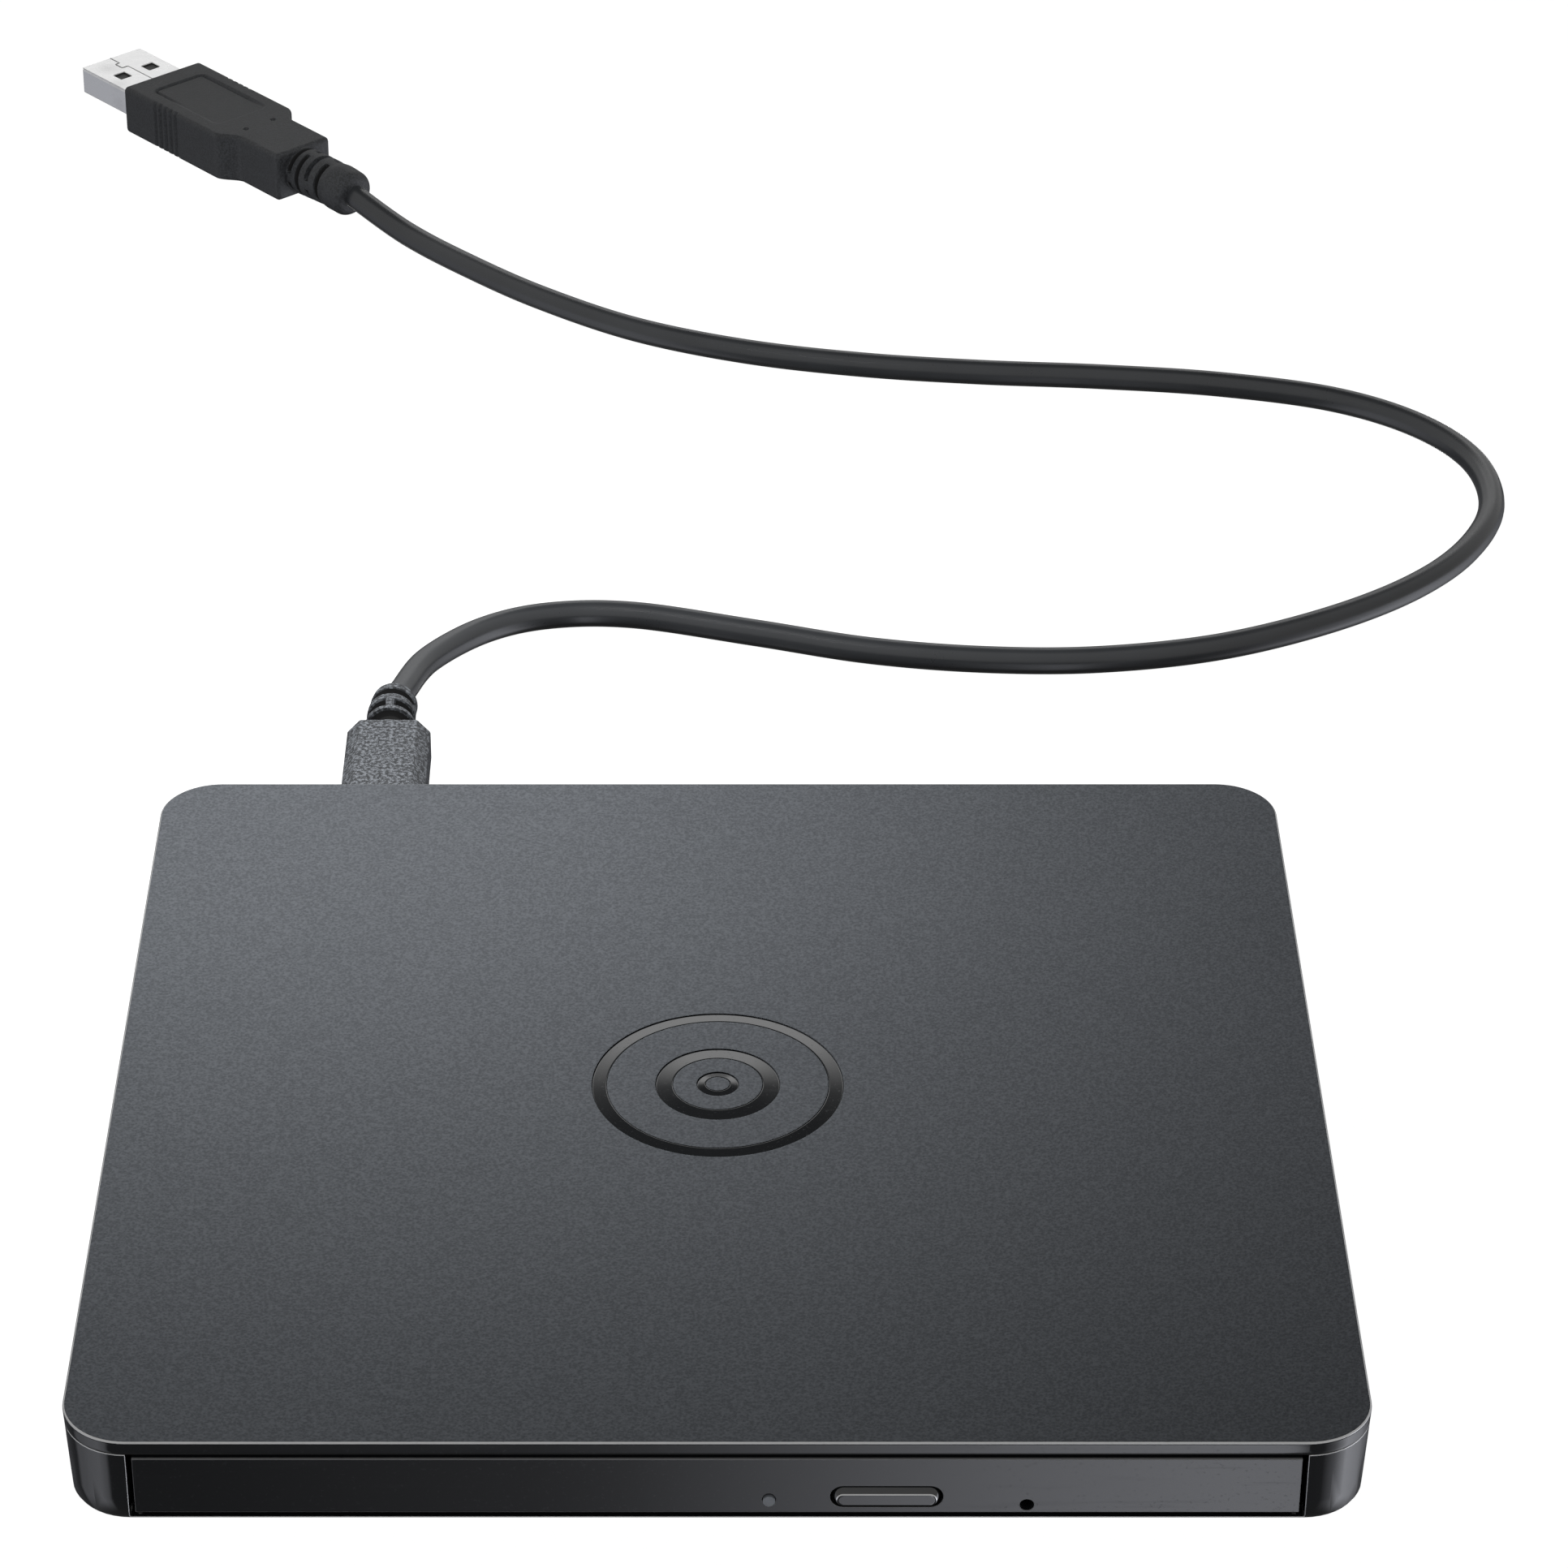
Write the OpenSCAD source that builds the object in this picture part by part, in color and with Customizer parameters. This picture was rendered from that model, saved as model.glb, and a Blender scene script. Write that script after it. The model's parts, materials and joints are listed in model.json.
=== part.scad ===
// Slim external optical drive: a two-piece plastic case around a tray-loading disc drive,
// with a short lead from a mini plug at the back to a flat computer plug.
// Origin: centre of the case on the table. +X right, +Y to the back, +Z up, millimetres.

/* [Case] */
// Width of the case at its top edge
case_w = 144; // [144:0.5:150]
// Depth of the case, front to back, at its top edge
case_d = 137.5; // [137.5:0.5:141]
// Radius of the upright corners
corner_r = 7.5; // [6.5:0.5:9]
// Lean of the side walls, inward towards the bottom, in degrees
wall_lean = 3; // [1:0.5:3.5]
// Thickness of the plastic walls
wall = 1.6; // [1.3:0.1:1.7]
// Diameter of the four rubber feet
foot_d = 10; // [7:0.5:12]

/* [Badge] */
// Outer diameter of the ring let into the lid
badge_d = 30; // [20:1:40]
// Width of the ring
badge_band = 1.7; // [1:0.1:2.4]

/* [Tray] */
// How far the tray comes out
tray_travel = 130; // [110:1:130]
// Width of the front bezel
bezel_w = 127.8; // [127:0.1:128.4]
// Radius of the pocket that the disc lies in
disc_pocket_r = 60.6; // [60.3:0.1:60.8]
// Radius of the hub that the disc's 15 mm hole snaps on
hub_r = 7.45; // [7.4:0.01:7.48]

/* [Front panel] */
// Centre of the eject button, to the right of the middle
button_x = 18.6; // [12:0.1:24]
// Length of the eject button
button_len = 11.8; // [9:0.1:13]
// Place of the busy lamp, to the right of the middle
lamp_x = 5.7; // [2:0.1:8]
// Place of the hole for a bent paper clip
clip_hole_x = 34; // [32:0.5:36]
// Radius of the hole for a bent paper clip
clip_hole_r = 0.78; // [0.6:0.02:0.9]

/* [Lead] */
// Diameter of the lead
lead_d = 3.8; // [3:0.1:3.8]
// Place of the mini socket, from the middle
socket_x = -44.3; // [-46:0.1:-40]

/* [Hidden] */
$fn = 48;

// heights, from the table up
floor_z = 1.0;
inner_floor_z = 2.2;
belly_z = 2.95;
skirt_z = 3.45;
seam_z = 12.2;
lid_under_z = 12.7;
edge_z = 13.8;
case_h = 14;
pan_z = 2.4;
sheet_t = 0.5;
plate_z = 11.9;
deck_z = 7.9;
pocket_z = 8.6;
rim_z = 11.0;
socket_z = 6;

// badge
mark_r = badge_d / 4 - 0.1;
badge_z = case_h - 0.4;
inlay_t = 0.37;
inlay_gap = 0.05;

// places, front to back
front_y = -case_d / 2;
drive_front = front_y + 3.15;
drive_back = drive_front + 126;
drive_half = 64;
bezel_back = front_y + 2.75;
disc_y = drive_front + 61.1;
tray_front = bezel_back;
tray_back = drive_front + 123.1;
tray_half = 63;
opening_half = bezel_w / 2 + 0.65;
rail_len = tray_travel / 2 + 51;
pan_front = drive_front + 1.2;
board_back = drive_back + 5.4;
bezel_bottom = 3.8;
bezel_top = 11.75;

// front panel heights
lamp_z = 5.75;
button_z = 6.2;
button_h = 2.4;
clip_hole_z = 5.0;
slot_gap = 0.3;
proud = 0.3;

// carriage: u runs from the spindle to the front left corner, v across it
carriage_turn = -135;
rod_v = 13.5;
screw_v = 20.5;
rod_r = 1.0;
rod_z = 5.8;
rod_u0 = 13.0;
rod_u1 = 66.0;
sled_u0 = 17;
sled_u1 = 30;
lens_u = 23.5;
running_gap = 0.05;

// latch
post_x = 45.4;
post_y = -46;
lever_pivot = [47.5, -60];

// lead and plugs
lead_r = lead_d / 2;
mini_body_end = 91.8;
relief_root = 0.4;
mini_half = 5.6;
mini_half_z = 4;
mini_bevel = [1.75, 1.9];
mini_cuts = [[0.8, 3.9], [4.9, 6.7], [8.1, 9.7]];
flat_cuts = [[0.3, 1.2], [2.35, 3.25], [4.75, 5.65], [7.25, 8.15]];
plug_tip = [-103.2, 316.6];
plug_turn = -48.4;
plug_z = 4.25;
plug_shell_len = 14.3;
plug_body_len = 38.7;
plug_half = 7.9;
plug_half_z = 4.1;
neck_half = 5.5;
shoulder = [24.7, 29.2];

// centre line of the lead, from the mini plug's relief to the flat plug's relief
ROUTE = [
    [-44, 103.4, 5.8], [-43.25, 107.3, 5.4], [-40.2, 117.4, 4.4], [-33, 128, 3],
    [-24, 133.5, 2.2], [-12, 134, 2],
    [5, 129, 2], [21, 124, 2], [37, 121.5, 2], [53, 121.5, 2], [70, 125, 2],
    [86, 132.5, 2], [99, 142, 2], [108, 153, 2], [113, 166, 2], [112, 180, 2],
    [105, 191.5, 2], [93, 200, 2], [76, 205, 2], [58, 207.5, 2], [40, 209, 2],
    [22, 211.5, 2], [4, 216, 2], [-13, 223.5, 2], [-28, 234.5, 2], [-40, 246, 2],
    [-50.2, 256.8, 2.4], [-59.2, 267, 4.2]
];

// ---- shared shapes ----

// how far the leaning wall has come in at height z
function inset(z) = (edge_z - z) * tan(wall_lean);

// box from corner to corner
module span(low, high) {
    translate(low) cube(high - low);
}

// rounded slab whose sides come in by in0 at z0 and in1 at z1, with true cones at its corners
module rounded_slab(z0, z1, in0, in1) {
    cx = case_w / 2 - corner_r;
    cy = case_d / 2 - corner_r;
    for (sx = [-1, 1], sy = [-1, 1])
        translate([sx * cx, sy * cy, z0])
            cylinder(h = z1 - z0, r1 = corner_r - in0, r2 = corner_r - in1);
    rotate([90, 0, 90])
        linear_extrude(2 * cx, center = true)
            taper(case_d / 2 - in0, case_d / 2 - in1, z0, z1);
    rotate([90, 0, 0])
        linear_extrude(2 * cy, center = true)
            taper(case_w / 2 - in0, case_w / 2 - in1, z0, z1);
}

module taper(half0, half1, z0, z1) {
    polygon([[-half0, z0], [half0, z0], [half1, z1], [-half1, z1]]);
}

// round-ended bar lying along X, from y0 to y1
module stadium(len, high, y0, y1) {
    for (sx = [-1, 1])
        translate([sx * (len - high) / 2, y1, 0])
            rotate([90, 0, 0]) cylinder(h = y1 - y0, d = high);
    span([-(len - high) / 2, y0, -high / 2], [(len - high) / 2, y1, high / 2]);
}

module both_sides() {
    children();
    mirror([1, 0, 0]) children();
}

// flat ring
module ring(r_out, r_in, high) {
    difference() {
        cylinder(h = high, r = r_out);
        translate([0, 0, -1]) cylinder(h = high + 2, r = r_in);
    }
}

// puts children into the carriage's frame: u outwards from the spindle, v across
module carriage() {
    translate([0, disc_y, 0]) rotate([0, 0, carriage_turn]) children();
}

// rod along u at height z
module rod(u0, u1, v, z, r) {
    translate([u0, v, z]) rotate([0, 90, 0]) cylinder(h = u1 - u0, r = r);
}

// puts children into the flat plug's frame: +X from the tip to the lead, Z from the shell's middle
module flat_plug() {
    translate([plug_tip[0], plug_tip[1], plug_z]) rotate([0, 0, plug_turn]) children();
}

// ---- case ----

module top_cover() {
    boss_x = 56;
    boss_y = drive_back + 2.2;
    lip_in = wall + 0.15;
    color("#33363a") difference() {
        union() {
            difference() {
                rounded_slab(seam_z + 0.05, edge_z, inset(seam_z), 0);
                rounded_slab(seam_z - 0.1, lid_under_z, inset(seam_z) + wall, inset(lid_under_z) + wall);
            }
            rounded_slab(edge_z, case_h, 0, 0.2);
            difference() {
                rounded_slab(seam_z - 1, lid_under_z, inset(seam_z) + lip_in, inset(lid_under_z) + lip_in);
                rounded_slab(
                    seam_z - 1.1, lid_under_z, inset(seam_z) + lip_in + 1, inset(seam_z) + lip_in + 1
                );
                span([-opening_half - 1.7, front_y, 0], [opening_half + 1.7, front_y + 6, lid_under_z]);
            }
            both_sides() translate([boss_x, boss_y, 4.6]) cylinder(h = lid_under_z - 4.6, r = 1.9);
        }
        badge_groove(badge_d / 2, badge_band);
        badge_groove(mark_r, 2);
        badge_groove(mark_r / 3, 1);
        both_sides() translate([boss_x, boss_y, 4]) cylinder(h = 7, r = 0.8);
    }
}

// groove a little wider than the band that lies in it
module badge_groove(r, band) {
    translate([0, 0, badge_z]) ring(r + inlay_gap, r - band - inlay_gap, 1);
}

module badge_ring() {
    color("#2a2c2f") translate([0, 0, badge_z]) ring(badge_d / 2, badge_d / 2 - badge_band, inlay_t);
}

// plain disc pictogram: a disc's outline and its hub
module badge_mark() {
    color("#222427") translate([0, 0, badge_z]) {
        ring(mark_r, mark_r - 2, inlay_t);
        ring(mark_r / 3, mark_r / 3 - 1, inlay_t);
    }
}

module bottom_cover() {
    socket_half = 4.3;
    color("#17181a") {
        difference() {
            union() {
                rounded_slab(skirt_z, seam_z, inset(skirt_z), inset(seam_z));
                rounded_slab(belly_z, skirt_z, 0.85, inset(skirt_z));
                rounded_slab(floor_z, belly_z, 4.25, 0.85);
            }
            rounded_slab(skirt_z, seam_z + 1, inset(skirt_z) + wall, inset(seam_z + 1) + wall);
            rounded_slab(inner_floor_z, skirt_z, 4.4, inset(skirt_z) + wall);
            span([-opening_half, front_y - 1, 3.1], [opening_half, front_y + 6, case_h]);
            span([socket_x - socket_half, drive_back, socket_z - 2.4],
                [socket_x + socket_half, -front_y + 1, socket_z + 2.4]);
            foot_places() translate([0, 0, floor_z - 0.1]) cylinder(h = 0.5, d = foot_d + 0.2);
            screw_places() {
                translate([0, 0, floor_z - 0.1]) cylinder(h = 0.9, r = 2.0);
                cylinder(h = 6, r = 1.15);
            }
            span([-25, -20, floor_z - 0.1], [25, 12, floor_z + 0.15]);
            for (i = [-3:3]) span([i * 8 - 2.5, 30, 0], [i * 8 + 2.5, 31.6, 3]);
        }
        screw_places() translate([0, 0, inner_floor_z - 0.1]) difference() {
            cylinder(h = 2.1, r = 1.85);
            translate([0, 0, -1]) cylinder(h = 4, r = 1.15);
        }
        both_sides() {
            // walls beside the bezel's opening, set back where the belly slopes in
            span([opening_half, front_y + 1.3, belly_z + 0.2],
                [opening_half + 1.2, front_y + 7, seam_z]);
            span([opening_half, front_y + 3.2, inner_floor_z - 0.2],
                [opening_half + 1.2, front_y + 7, belly_z + 0.3]);
            // ribs that hold the drive sideways
            for (y = [-42, -2, 38]) span([drive_half + 0.2, y, inner_floor_z + 1.1], [69.6, y + 1.4, 8]);
            // pads under the drive
            for (y = [-52, 45]) translate([48, y, inner_floor_z - 0.1]) cylinder(h = 0.3, r = 3);
            // posts under the bridge board
            translate([20, drive_back + 3.2, inner_floor_z - 0.1]) cylinder(h = 1, r = 1.3);
        }
    }
}

module foot_places() {
    for (sx = [-1, 1], sy = [-1, 1]) translate([sx * 56, sy * 52, 0]) children();
}

module screw_places() {
    both_sides() translate([56, drive_back + 2.2, 0]) children();
}

module rubber_feet() {
    color("#101010") foot_places() {
        cylinder(h = 0.3, d1 = foot_d - 0.8, d2 = foot_d);
        translate([0, 0, 0.3]) cylinder(h = 1.1, d = foot_d);
    }
}

module case_screws() {
    color("silver") screw_places() {
        difference() {
            translate([0, 0, floor_z + 0.1]) cylinder(h = 0.7, r = 1.8);
            translate([0, 0, floor_z - 1]) cylinder(h = 1.5, r = 0.7, $fn = 6);
        }
        translate([0, 0, floor_z + 0.8]) cylinder(h = 7, r = 0.9);
    }
}

module blank_label() {
    color("#c9ccd0") span([-24.8, -19.8, floor_z + 0.04], [24.8, 11.8, floor_z + 0.14]);
}

// ---- boards behind the drive ----

module bridge_board() {
    color("#1f6b3a") difference() {
        span([-50, drive_back + 0.5, 3.1], [50, board_back, 4.1]);
        span([socket_x - 3.9, drive_back + 0.4, 4.0], [socket_x + 3.9, -front_y, 4.2]);
    }
}

module bridge_chips() {
    y = drive_back + 1.0;
    color("#202020") {
        span([-14, y, 4.1], [-9, board_back - 0.2, 5.0]);
        span([-26, y + 0.6, 4.1], [-22.8, y + 3.1, 4.9]);
        for (i = [0:4]) span([i * 3.1 - 4, y + 1, 4.1], [i * 3.1 - 2.4, y + 1.9, 4.6]);
        for (i = [0:2]) span([-34, y + i * 1.4, 4.1], [-32.2, y + i * 1.4 + 0.8, 4.6]);
    }
}

module mini_socket() {
    y0 = drive_back + 0.6;
    y1 = -front_y - 0.9;
    color("silver") translate([socket_x, 0, socket_z]) {
        difference() {
            span([-3.8, y0, -1.95], [3.8, y1, 1.95]);
            span([-3.55, y0 + 0.4, -1.7], [3.55, y1 + 1, 1.7]);
        }
        span([-1.7, y0 + 0.3, -0.3], [1.7, y1 - 1.2, 0.35]);
    }
}

module board_connector() {
    y0 = drive_back + 0.3;
    color("#202020") {
        span([20, y0, 4.1], [44, y0 + 4.6, 7.5]);
        span([21, drive_back - 3.4, 5.3], [27, y0 + 0.1, 6.3]);
        span([29, drive_back - 3.4, 5.3], [43, y0 + 0.1, 6.3]);
    }
}

module drive_connector() {
    color("#262626") difference() {
        span([18, drive_back - 5, 3.8], [46, drive_back - 0.1, 7.6]);
        span([20.7, drive_back - 3.7, 5.0], [27.3, drive_back + 1, 6.6]);
        span([28.7, drive_back - 3.7, 5.0], [43.3, drive_back + 1, 6.6]);
    }
}

// ---- drive chassis ----

module drive_pan() {
    wall_top = 8;
    color("#a9adb2") difference() {
        span([-drive_half, pan_front, pan_z], [drive_half, drive_back, wall_top]);
        span([-drive_half + sheet_t, pan_front - 1, pan_z + sheet_t],
            [drive_half - sheet_t, drive_back - sheet_t, wall_top + 1]);
        span([17.7, drive_back - 1, 3.6], [46.3, drive_back + 1, wall_top + 1]);
        for (x = [-40, 36]) translate([x, 20, pan_z - 1]) cylinder(h = 2, r = 4);
        translate([0, disc_y, pan_z - 1]) cylinder(h = 2, r = 3);
    }
}

module drive_top_plate() {
    flange_z = 8.1;
    color("#b4b8bd") difference() {
        span([-drive_half, drive_front, flange_z], [drive_half, drive_back, plate_z]);
        span([-drive_half + sheet_t, drive_front - 1, flange_z - 1],
            [drive_half - sheet_t, drive_back - sheet_t, plate_z - sheet_t]);
    }
}

module rail_channels() {
    web_in = drive_half - sheet_t - 0.6;
    color("#8d9196") both_sides() difference() {
        span([61.5, drive_front + 3, 3.9], [drive_half - sheet_t, drive_back - 3, 7.7]);
        span([61, drive_front + 2, 4.2], [web_in, drive_back - 2, 7.4]);
    }
}

module chassis_board() {
    color("#1c5f36") span([-30, drive_back - 16, 3.0], [50, drive_back - 5.3, 3.7]);
    color("#202020") {
        span([-18, drive_back - 14, 3.7], [-8, drive_back - 8, 4.6]);
        span([12, drive_back - 14.5, 3.7], [30, drive_back - 11.5, 5.2]);
    }
}

module fixed_flex() {
    color("#c8792a") span([12, -20, 2.92], [30, drive_back - 16.2, 3.04]);
}

module latch_post() {
    color("silver") translate([post_x, post_y, pan_z + sheet_t]) cylinder(h = 3.2, r = 1);
}

// ---- rails, which come out half as far as the tray ----

module right_rail() {
    color("#c3c6ca") difference() {
        span([60.7, drive_front + 1.5, 4.4], [62.7, drive_front + 1.5 + rail_len, 7.2]);
        span([60, drive_front, 5.2], [61.4, drive_front + 3 + rail_len, 6.4]);
    }
}

module left_rail() {
    mirror([1, 0, 0]) right_rail();
}

// ---- tray ----

module disc_tray() {
    color("#1d1e20") difference() {
        union() {
            span([-tray_half, tray_front, deck_z], [tray_half, tray_back, rim_z]);
            span([-tray_half + 0.5, tray_front, 3.9], [tray_half - 0.5, tray_front + 1, deck_z]);
            both_sides() {
                span([59.2, tray_front, 3.7], [60.2, tray_front + rail_len, deck_z]);
                span([60.1, tray_front + 1, 5.4], [61.1, tray_front + rail_len, 6.2]);
            }
        }
        translate([0, disc_y, pocket_z]) cylinder(h = 5, r = disc_pocket_r);
        for (a = [42, 138]) translate([0, disc_y, 0]) rotate([0, 0, a])
            translate([62, 0, pocket_z]) cylinder(h = 5, r = 9);
        both_sides() translate([58.6, tray_back - 4.4, deck_z - 1]) corner_cut(4.4);
        carriage() {
            translate([0, 0, deck_z - 1]) cylinder(h = 2, r = 20.5);
            span([0, -16.8, deck_z - 1], [57.5, 16.8, pocket_z + 0.1]);
            span([50, -13, deck_z - 1], [66.5, 13, 8.9]);
        }
        // windows in the front wall: eject button and clip hole
        span([button_x - 8.2, tray_front - 1, 4.2], [button_x + 8.2, tray_front + 2, deck_z + 0.2]);
        translate([clip_hole_x, tray_front + 2, clip_hole_z]) rotate([90, 0, 0]) cylinder(h = 3, r = 1.2);
        translate([lamp_x, tray_front + 2, lamp_z]) rotate([90, 0, 0]) cylinder(h = 3, r = 1.1);
        // pocket of the kick spring, open to the back
        translate([-48, tray_back + 1, 9.4]) rotate([90, 0, 0]) cylinder(h = 15, r = 1.3);
        // path of the latch post
        span([post_x - 1.6, post_y - 1.6, 3], [post_x + 1.6, tray_back + 1, 6.4]);
    }
}

// outer part of a square corner, left when its round is taken away
module corner_cut(r) {
    difference() {
        cube([r + 1, r + 1, 10]);
        translate([0, 0, -1]) cylinder(h = 12, r = r);
    }
}

module tray_bezel() {
    lean_y = function (z) front_y + inset(z);
    color("#1b1c1e") difference() {
        rotate([90, 0, 90]) linear_extrude(bezel_w, center = true) polygon([
            [lean_y(bezel_bottom) + 0.15, bezel_bottom], [bezel_back, bezel_bottom],
            [bezel_back, bezel_top], [lean_y(bezel_top) + 0.15, bezel_top],
            [lean_y(bezel_top), bezel_top - 0.15], [lean_y(bezel_bottom), bezel_bottom + 0.15]
        ]);
        translate([button_x, 0, button_z])
            stadium(button_len + 2 * slot_gap, button_h + 2 * slot_gap, front_y - 1, bezel_back + 1);
        translate([button_x, 0, button_z])
            stadium(button_len + 2.6, button_h + 1.6, bezel_back - 1.1, bezel_back + 1);
        translate([lamp_x, bezel_back + 1, lamp_z]) rotate([90, 0, 0]) cylinder(h = 6, r = 0.75);
        translate([clip_hole_x, bezel_back + 1, clip_hole_z])
            rotate([90, 0, 0]) cylinder(h = 6, r = clip_hole_r);
    }
}

module light_pipe() {
    color("#9aa0a6") translate([lamp_x, 0, lamp_z]) {
        translate([0, bezel_back + 1.6, 0]) rotate([90, 0, 0])
            cylinder(h = 1.6 + bezel_back - front_y - inset(lamp_z) + proud, r = 0.68);
        translate([0, bezel_back + 2, 0]) rotate([90, 0, 0]) cylinder(h = 0.8, r = 1.0);
    }
}

module tray_bottom_cover() {
    color("#2a2c2e") difference() {
        span([-60.2, tray_front + 0.2, 3.35], [60.2, tray_front + 110, 3.65]);
        span([post_x - 1.6, post_y - 1.6, 3], [post_x + 1.6, tray_front + 111, 4]);
        translate([0, disc_y, 3]) cylinder(h = 1, r = 9);
        for (i = [0:5]) span([-48 + i * 9, 18, 3], [-44 + i * 9, 34, 4]);
    }
}

module tray_board() {
    color("#1f6b3a") difference() {
        span([7, tray_front + 1.2, 3.9], [57.6, -33, 4.6]);
        span([post_x - 1.6, post_y - 1.6, 3], [post_x + 1.6, -32, 5]);
    }
}

module tray_chips() {
    color("#1a1a1a") {
        span([24, -50, 4.6], [36, -38, 5.6]);
        span([12, -56, 4.6], [18, -50, 5.5]);
        span([12, -36.5, 4.6], [30, -33.5, 5.8]);
        translate([lamp_x + 2, 0, 0]) span([0, tray_front + 2.2, 4.6], [1.6, tray_front + 3, 5.2]);
        for (i = [0:4]) span([26 + i * 2.2, -58, 4.6], [27.2 + i * 2.2, -57.2, 5.1]);
    }
}

module eject_switch() {
    y0 = tray_front + 2.1;
    color("#303234") translate([button_x, 0, button_z]) {
        span([-3, y0, -1.6], [3, y0 + 2.2, 1.6]);
        translate([0, y0 + 0.1, 0]) rotate([90, 0, 0]) cylinder(h = 0.5, r = 0.9);
    }
}

module tray_flex() {
    color("#c8792a") {
        span([12, -30, 3.12], [30, 40, 3.24]);
    }
}

module tray_screws() {
    color("silver") for (p = [[-54, -58], [54, 36], [-54, 36]])
        translate([p[0], p[1], 3.66]) {
            cylinder(h = 0.5, r = 1.6);
            cylinder(h = 4, r = 0.8);
        }
}

// ---- carriage and spindle, below the tray's deck ----

module traverse_frame() {
    z0 = 4.5;
    z1 = 7.0;
    color("#9a9ea3") carriage() difference() {
        union() {
            span([-16, -17, z0], [66.2, 17, z1]);
            span([-16, 16, z0], [61, 23.2, z1]);
        }
        translate([0, 0, z0 - 1]) cylinder(h = 5, r = 13);
        span([15.5, -15.7, z0 - 1], [64.6, 15.7, z1 + 1]);
        span([15.5, 16.5, z0 - 1], [57.5, 22, z1 + 1]);
        span([2, 17.8, z0 - 1], [15, 23.3, z1 + 1]);
        for (v = [-rod_v, rod_v]) rod(rod_u0, rod_u1, v, rod_z, rod_r + 0.02);
        rod(14, 60.6, screw_v, rod_z, rod_r + running_gap);
    }
}

module guide_rods() {
    color("#d5d8dc") carriage() for (v = [-rod_v, rod_v]) rod(rod_u0 + 0.1, rod_u1 - 0.1, v, rod_z, rod_r);
}

module damper_grommets() {
    color("#1a1a1a") carriage() for (p = [[-13, -14], [-13, 19], [58.6, 19]])
        translate([p[0], p[1], 3.7]) cylinder(h = 0.8, r = 2.4);
}

module traverse_cover() {
    color("#3a3d40") carriage() difference() {
        intersection() {
            union() {
                cylinder(h = 8.4, r = 20.2);
                span([0, -16.5, 0], [57.2, 16.5, 8.4]);
            }
            translate([0, 0, 8.0]) cylinder(h = 0.4, r = 60);
        }
        translate([0, 0, 7]) cylinder(h = 3, r = 13.6);
        span([12, -11, 7], [64, 11, 10]);
    }
}

module stepper_motor() {
    color("#b9bcc0") carriage() {
        rod(2.6, 13.6, screw_v, rod_z, 2.0);
        span([3.5, screw_v - 2.2, 3.9], [12.5, screw_v + 2.2, 5.0]);
    }
}

module spindle_base() {
    color("#aeb2b7") translate([0, disc_y, 0]) difference() {
        union() {
            translate([0, 0, 3.8]) cylinder(h = 0.7, r = 16);
            translate([0, 0, 4.4]) cylinder(h = 1.8, r = 3);
        }
        translate([0, 0, 3.9]) cylinder(h = 4, r = 2.0);
    }
}

module spindle_bearing() {
    color("#b98b4a") translate([0, disc_y, 3.95]) difference() {
        cylinder(h = 3.6, r = 1.98);
        translate([0, 0, 0.4]) cylinder(h = 4, r = 0.8);
    }
}

module spindle_rotor() {
    color("#c9ccd0") translate([0, disc_y, 0]) {
        difference() {
            translate([0, 0, 4.9]) cylinder(h = 3.6, r = 11.5);
            translate([0, 0, 4.8]) cylinder(h = 3.2, r = 11);
        }
        translate([0, 0, 8.4]) cylinder(h = 0.6, r = 11);
        translate([0, 0, 4.5]) cylinder(h = 4, r = 0.77);
    }
}

module turntable_pad() {
    color("#151515") translate([0, disc_y, 9.0]) ring(10.8, 8.2, 0.3);
}

module disc_hub() {
    color("#d8d9da") translate([0, disc_y, 9.0]) difference() {
        union() {
            cylinder(h = 1.6, r = hub_r);
            translate([0, 0, 1.6]) cylinder(h = 0.4, r1 = hub_r, r2 = hub_r - 0.7);
        }
        translate([0, 0, 1]) cylinder(h = 2, r = 2.4);
        for (a = [0, 120, 240]) rotate([0, 0, a + 30])
            span([3.4, -1.5, 1.2], [5.6, 1.5, 3]);
    }
}

module pickup_sled() {
    arm_top = 7.75;
    color("#8f9398") carriage() difference() {
        union() {
            span([sled_u0, -11, 4.0], [sled_u1, 11, 7.2]);
            for (v = [-rod_v, rod_v]) rod(sled_u0 + 1.5, sled_u1 - 1.5, v, rod_z, 1.9);
            span([sled_u0 + 2, -12.5, 5.2], [sled_u1 - 2, 12.5, 6.4]);
            // arm over the frame to the half nut on the lead screw
            span([sled_u0 + 2, 9.6, 6.5], [sled_u0 + 6, 11, arm_top]);
            span([sled_u0 + 2, 9.6, 7.25], [sled_u0 + 6, screw_v + 1.2, arm_top]);
            span([sled_u0 + 2, screw_v - 1.2, rod_z + rod_r + 0.1], [sled_u0 + 6, screw_v + 1.2, arm_top]);
        }
        for (v = [-rod_v, rod_v]) rod(sled_u0 - 1, sled_u1 + 1, v, rod_z, rod_r + running_gap);
        translate([lens_u, 0, 3]) cylinder(h = 6, r = 2.6);
        span([lens_u - 4.8, -7, 5.6], [lens_u + 4.8, 7, 8]);
    }
}

module pickup_cover() {
    color("#303336") carriage() difference() {
        span([sled_u0 + 0.4, -9.4, 7.2], [sled_u1 - 0.4, 9.4, 7.8]);
        span([lens_u - 4.4, -6.6, 7], [lens_u + 4.4, 6.6, 8]);
    }
}

module lens_holder() {
    color("#24262a") carriage() difference() {
        union() {
            span([lens_u - 3.4, -4.6, 6.4], [lens_u + 3.4, 4.6, 7.9]);
            translate([lens_u, 0, 7.9]) cylinder(h = 0.3, r = 2.8);
        }
        translate([lens_u, 0, 6]) cylinder(h = 3, r = 2.05);
    }
}

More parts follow.
